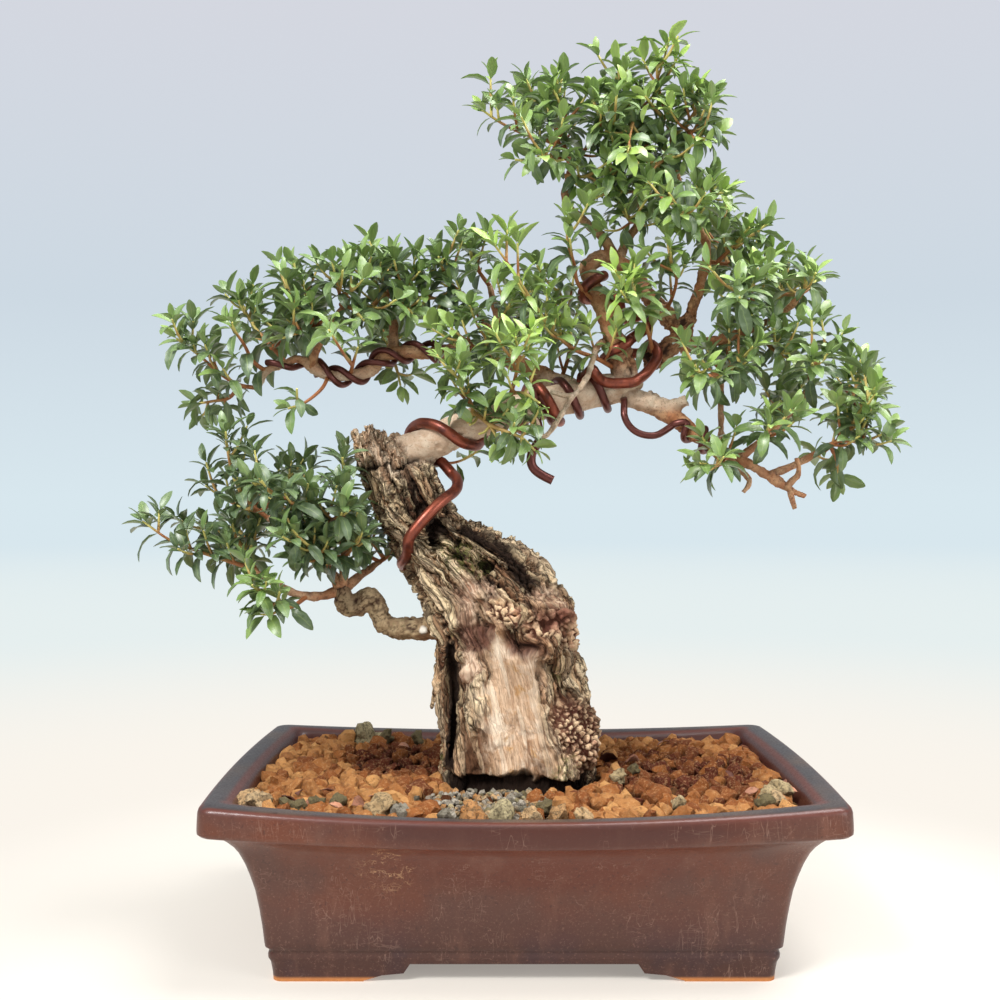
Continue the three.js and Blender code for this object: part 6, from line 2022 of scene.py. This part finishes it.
def leaf_finish(look, name, freshness):
    finish = Finish(name, specular_ior_level=0.5, coat_weight=0.5, coat_roughness=0.3)
    age_and_shade = finish.attribute("age_and_shade")
    tone = finish.attribute("tone")
    across = finish.maths("ABSOLUTE", finish.attribute("across"))
    grown = finish.mix(tone, look.old, rgb(100, 122, 78))
    middle = finish.mix(tone, look.middle, rgb(134, 162, 86))
    young = finish.mix(tone, look.young, rgb(178, 202, 108))
    # Young to grown to old colours, by the leaf's age and the group's painted shade
    fresh = finish.fade(age_and_shade, 0.0, 0.28, young, middle)
    colour = finish.mix(finish.span(age_and_shade, 0.3 + freshness, 0.8 + freshness), fresh, grown)
    cloud = finish.noise(3.2, 3, 0.6)
    # Painted sheen: greyish-pale blotches where the noise is high
    colour = finish.lay(colour, (cloud, 0.46, 0.68, 0.4, (140, 156, 130)))
    colour = finish.where("under", colour, rgb(128, 146, 92), 0.5)
    colour = finish.lay(colour, (across, 0.14, 0, 0.4, (166, 186, 108)))
    finish.colour(colour)
    finish.gloss(finish.span(cloud, 0.3, 0.7, 0.36, 0.52))
    finish.bump(cloud, 0.05, 0.2)
    return finish.material


def shoot_finish():
    finish = Finish("shoot_bark", roughness=0.6, specular_ior_level=0.35)
    bark = finish.mix(finish.noise(1.4, 3, 0.6), rgb(140, 78, 46), rgb(190, 128, 82))
    bark = finish.lay(bark, (finish.noise(0.9, 3, 0.6), 0.55, 0.7, 0.6, (104, 56, 34)))
    finish.colour(finish.where("green", bark, rgb(204, 194, 112)))
    return finish.material


def leafy_mesh(name, leaves, shape):
    """All the leaves of a spray that lie inside the model's box, as one mesh."""
    points, faces, across, under = shape
    low, high = (np.array(corner) / MM for corner in CAD_BOX)
    places = place_leaves(points, leaves)
    inside = (places > low - 3).all(axis=(1, 2)) & (places < high - (0, 0, 1)).all(axis=(1, 2))
    count = int(inside.sum())
    numbers = {key: [np.array([leaf[key] for leaf in leaves])[inside]] for key in ("age_and_shade", "tone")}
    numbers["across"] = [np.tile(across, (count, 1))]
    numbers["under"] = [np.tile(under, (count, 1))]
    return copies_mesh(name, [(places[inside] * MM, faces)], numbers)


def stem_mesh(stems):
    """The shoots of a spray, green towards their tips."""
    stem = round_tubes("stems", [route for route, tip in stems], 6)
    tips = np.array([tip for route, tip in stems])
    distance = np.linalg.norm(read_points(stem)[:, None] / MM - tips[None], axis=2).min(axis=1)
    store(stem, green=1 - ease(distance, 2, 10))
    return stem


def grow_sprays(look):
    shape = leaf_shape()
    old = leaf_finish(look, "old_leaf_green", 0.0)
    fresh = leaf_finish(look, "fresh_leaf_green", 0.25)
    bark = shoot_finish()
    names = [(group, f"{group}_spray_{number + 1:02d}", shoots)
             for group, sprays in SPRAYS.items() for number, shoots in enumerate(sprays)]
    for order, (group, name, shoots) in enumerate(names):
        draw = random.Random(FIRST_SPRAY_SEED + order)
        young = name in YOUNG_SPRAYS
        leaves, stems = [], []
        for route in shoots:
            grow_shoot(route, draw, look, leaves, stems, RIPENESS_AND_SHADE[group] - YOUTH * young)
        spray = leafy_mesh("leafy_" + name, leaves, shape)
        stem = stem_mesh(stems)
        spray.data.materials.append(fresh if young else old)
        for piece in (spray, stem):
            piece.data.materials.append(bark)
        join(spray, stem)
        shade(spray, LEAF_SHARP)
        dress(spray, [name])


class BONSAI_OT_grow_sprays(bpy.types.Operator):
    """Grow every leafy spray on its shoots"""

    bl_idname = "bonsai.grow_sprays"
    bl_label = "Grow Leafy Sprays"

    def execute(self, context):
        grow_sprays(context.scene.bonsai.leaves)
        return {"FINISHED"}


# Stage

def soft_light(name, place, size, power):
    lamp = bpy.data.lights.new(name, "AREA")
    lamp.shape = "DISK"
    lamp.size = size
    lamp.energy = power
    light = add_object(name, lamp)
    light.location = place
    light.rotation_mode = "QUATERNION"
    light.rotation_quaternion = (Vector(LIGHT_TARGET) - Vector(place)).to_track_quat("-Z", "Y")


def floor_finish(look):
    """Takes soft shadows near the pot, lightened by a painted glow, and glows more and more further away
    until it fades into the backdrop's own colour.
    """
    finish = Finish("pale_floor", roughness=0.9, specular_ior_level=0.1)
    distance = finish.add("ShaderNodeVectorMath", operation="LENGTH")
    finish.feed(distance.inputs[0], finish.place)
    reach = distance.outputs["Value"]
    haze = finish.fade(reach, 0.3, 1.3, rgb(251, 245, 236), rgb(230, 239, 239))
    haze = finish.fade(reach, 1.1, 5, haze, look.haze)
    finish.colour(look.floor)
    glow = finish.add("ShaderNodeEmission")
    finish.feed(glow.inputs["Color"], haze)
    blend = finish.add("ShaderNodeMixShader")
    # Painted light: the floor glows three tenths near the pot, which lightens its shadows, and fully from a
    # third of a metre away
    finish.feed(blend.inputs[0], finish.span(reach, 0.1, 0.34, 0.3, 1))
    finish.feed(blend.inputs[1], finish.shader.outputs[0])
    finish.feed(blend.inputs[2], glow.outputs[0])
    finish.feed(finish.tree.nodes["Material Output"].inputs["Surface"], blend.outputs[0])
    return finish.material


def set_room(look):
    """A backdrop that pales from blue above to the floor's far colour, and lights the tree softly."""
    world = bpy.data.worlds.new("pale_room")
    world.use_nodes = True
    bpy.context.scene.world = world
    nodes, links = world.node_tree.nodes, world.node_tree.links
    direction = nodes.new("ShaderNodeTexCoord")
    split = nodes.new("ShaderNodeSeparateXYZ")
    links.new(direction.outputs["Generated"], split.inputs[0])
    ramp = nodes.new("ShaderNodeValToRGB")
    elements = ramp.color_ramp.elements
    elements[0].position, elements[0].color = 0.0, (*look.haze, 1)
    elements[1].position, elements[1].color = 0.36, (*look.high, 1)
    middle = elements.new(0.15)
    middle.color = (*look.sky, 1)
    links.new(split.outputs["Z"], ramp.inputs["Fac"])
    seen = nodes["Background"]
    links.new(ramp.outputs["Color"], seen.inputs["Color"])
    felt = nodes.new("ShaderNodeBackground")
    felt.inputs["Color"].default_value = (0.9, 0.95, 1, 1)
    felt.inputs["Strength"].default_value = look.fill
    path = nodes.new("ShaderNodeLightPath")
    blend = nodes.new("ShaderNodeMixShader")
    links.new(path.outputs["Is Camera Ray"], blend.inputs[0])
    links.new(felt.outputs[0], blend.inputs[1])
    links.new(seen.outputs[0], blend.inputs[2])
    links.new(blend.outputs[0], nodes["World Output"].inputs["Surface"])


def set_stage(look):
    deselect()
    bpy.ops.mesh.primitive_circle_add(vertices=96, radius=FLOOR_RADIUS, fill_type="NGON")
    floor = bpy.context.object
    floor.name = "pale_floor"
    floor.data.materials.append(floor_finish(look))
    set_room(look)
    for name, (place, size, share) in LIGHTS.items():
        soft_light(name, place, size, look.key * share)
    lens = bpy.data.cameras.new("photo_camera")
    lens.lens = CAMERA_LENS
    lens.sensor_width = CAMERA_SENSOR
    lens.clip_start = 0.02
    lens.clip_end = 60
    camera = add_object("photo_camera", lens)
    camera.location = [part * MM for part in CAMERA_PLACE]
    camera.rotation_euler = (math.radians(CAMERA_PITCH), 0, 0)
    bpy.context.scene.camera = camera
    bpy.context.scene.view_settings.view_transform = "Standard"


class BONSAI_OT_set_stage(bpy.types.Operator):
    """Set the pale floor, the soft studio light and the camera"""

    bl_idname = "bonsai.set_stage"
    bl_label = "Set Stage"

    def execute(self, context):
        set_stage(context.scene.bonsai.stage)
        return {"FINISHED"}


class BONSAI_PT_panel(bpy.types.Panel):
    """Lists the pieces of the bonsai"""

    bl_idname = "BONSAI_PT_panel"
    bl_label = "Myrtle Bonsai"
    bl_space_type = "VIEW_3D"
    bl_region_type = "UI"
    bl_category = "Bonsai"

    def draw(self, context):
        for operator in OPERATORS:
            self.layout.operator(operator.bl_idname)


SETTINGS = [
    PotSettings, SoilSettings, WoodSettings, WireSettings, LeafSettings, StageSettings, BonsaiSettings,
]
OPERATORS = [
    BONSAI_OT_model_pot, BONSAI_OT_finish_screens, BONSAI_OT_model_soil, BONSAI_OT_model_trunk,
    BONSAI_OT_model_branches, BONSAI_OT_model_wires, BONSAI_OT_grow_sprays, BONSAI_OT_set_stage,
]


def register():
    for kind in [*SETTINGS, *OPERATORS, BONSAI_PT_panel]:
        bpy.utils.register_class(kind)
    bpy.types.Scene.bonsai = bpy.props.PointerProperty(type=BonsaiSettings)


def unregister():
    del bpy.types.Scene.bonsai
    for kind in reversed([*SETTINGS, *OPERATORS, BONSAI_PT_panel]):
        bpy.utils.unregister_class(kind)


def main():
    register()
    for operator in OPERATORS:
        group, name = operator.bl_idname.split(".")
        getattr(getattr(bpy.ops, group), name)()


if __name__ == "__main__":
    main()
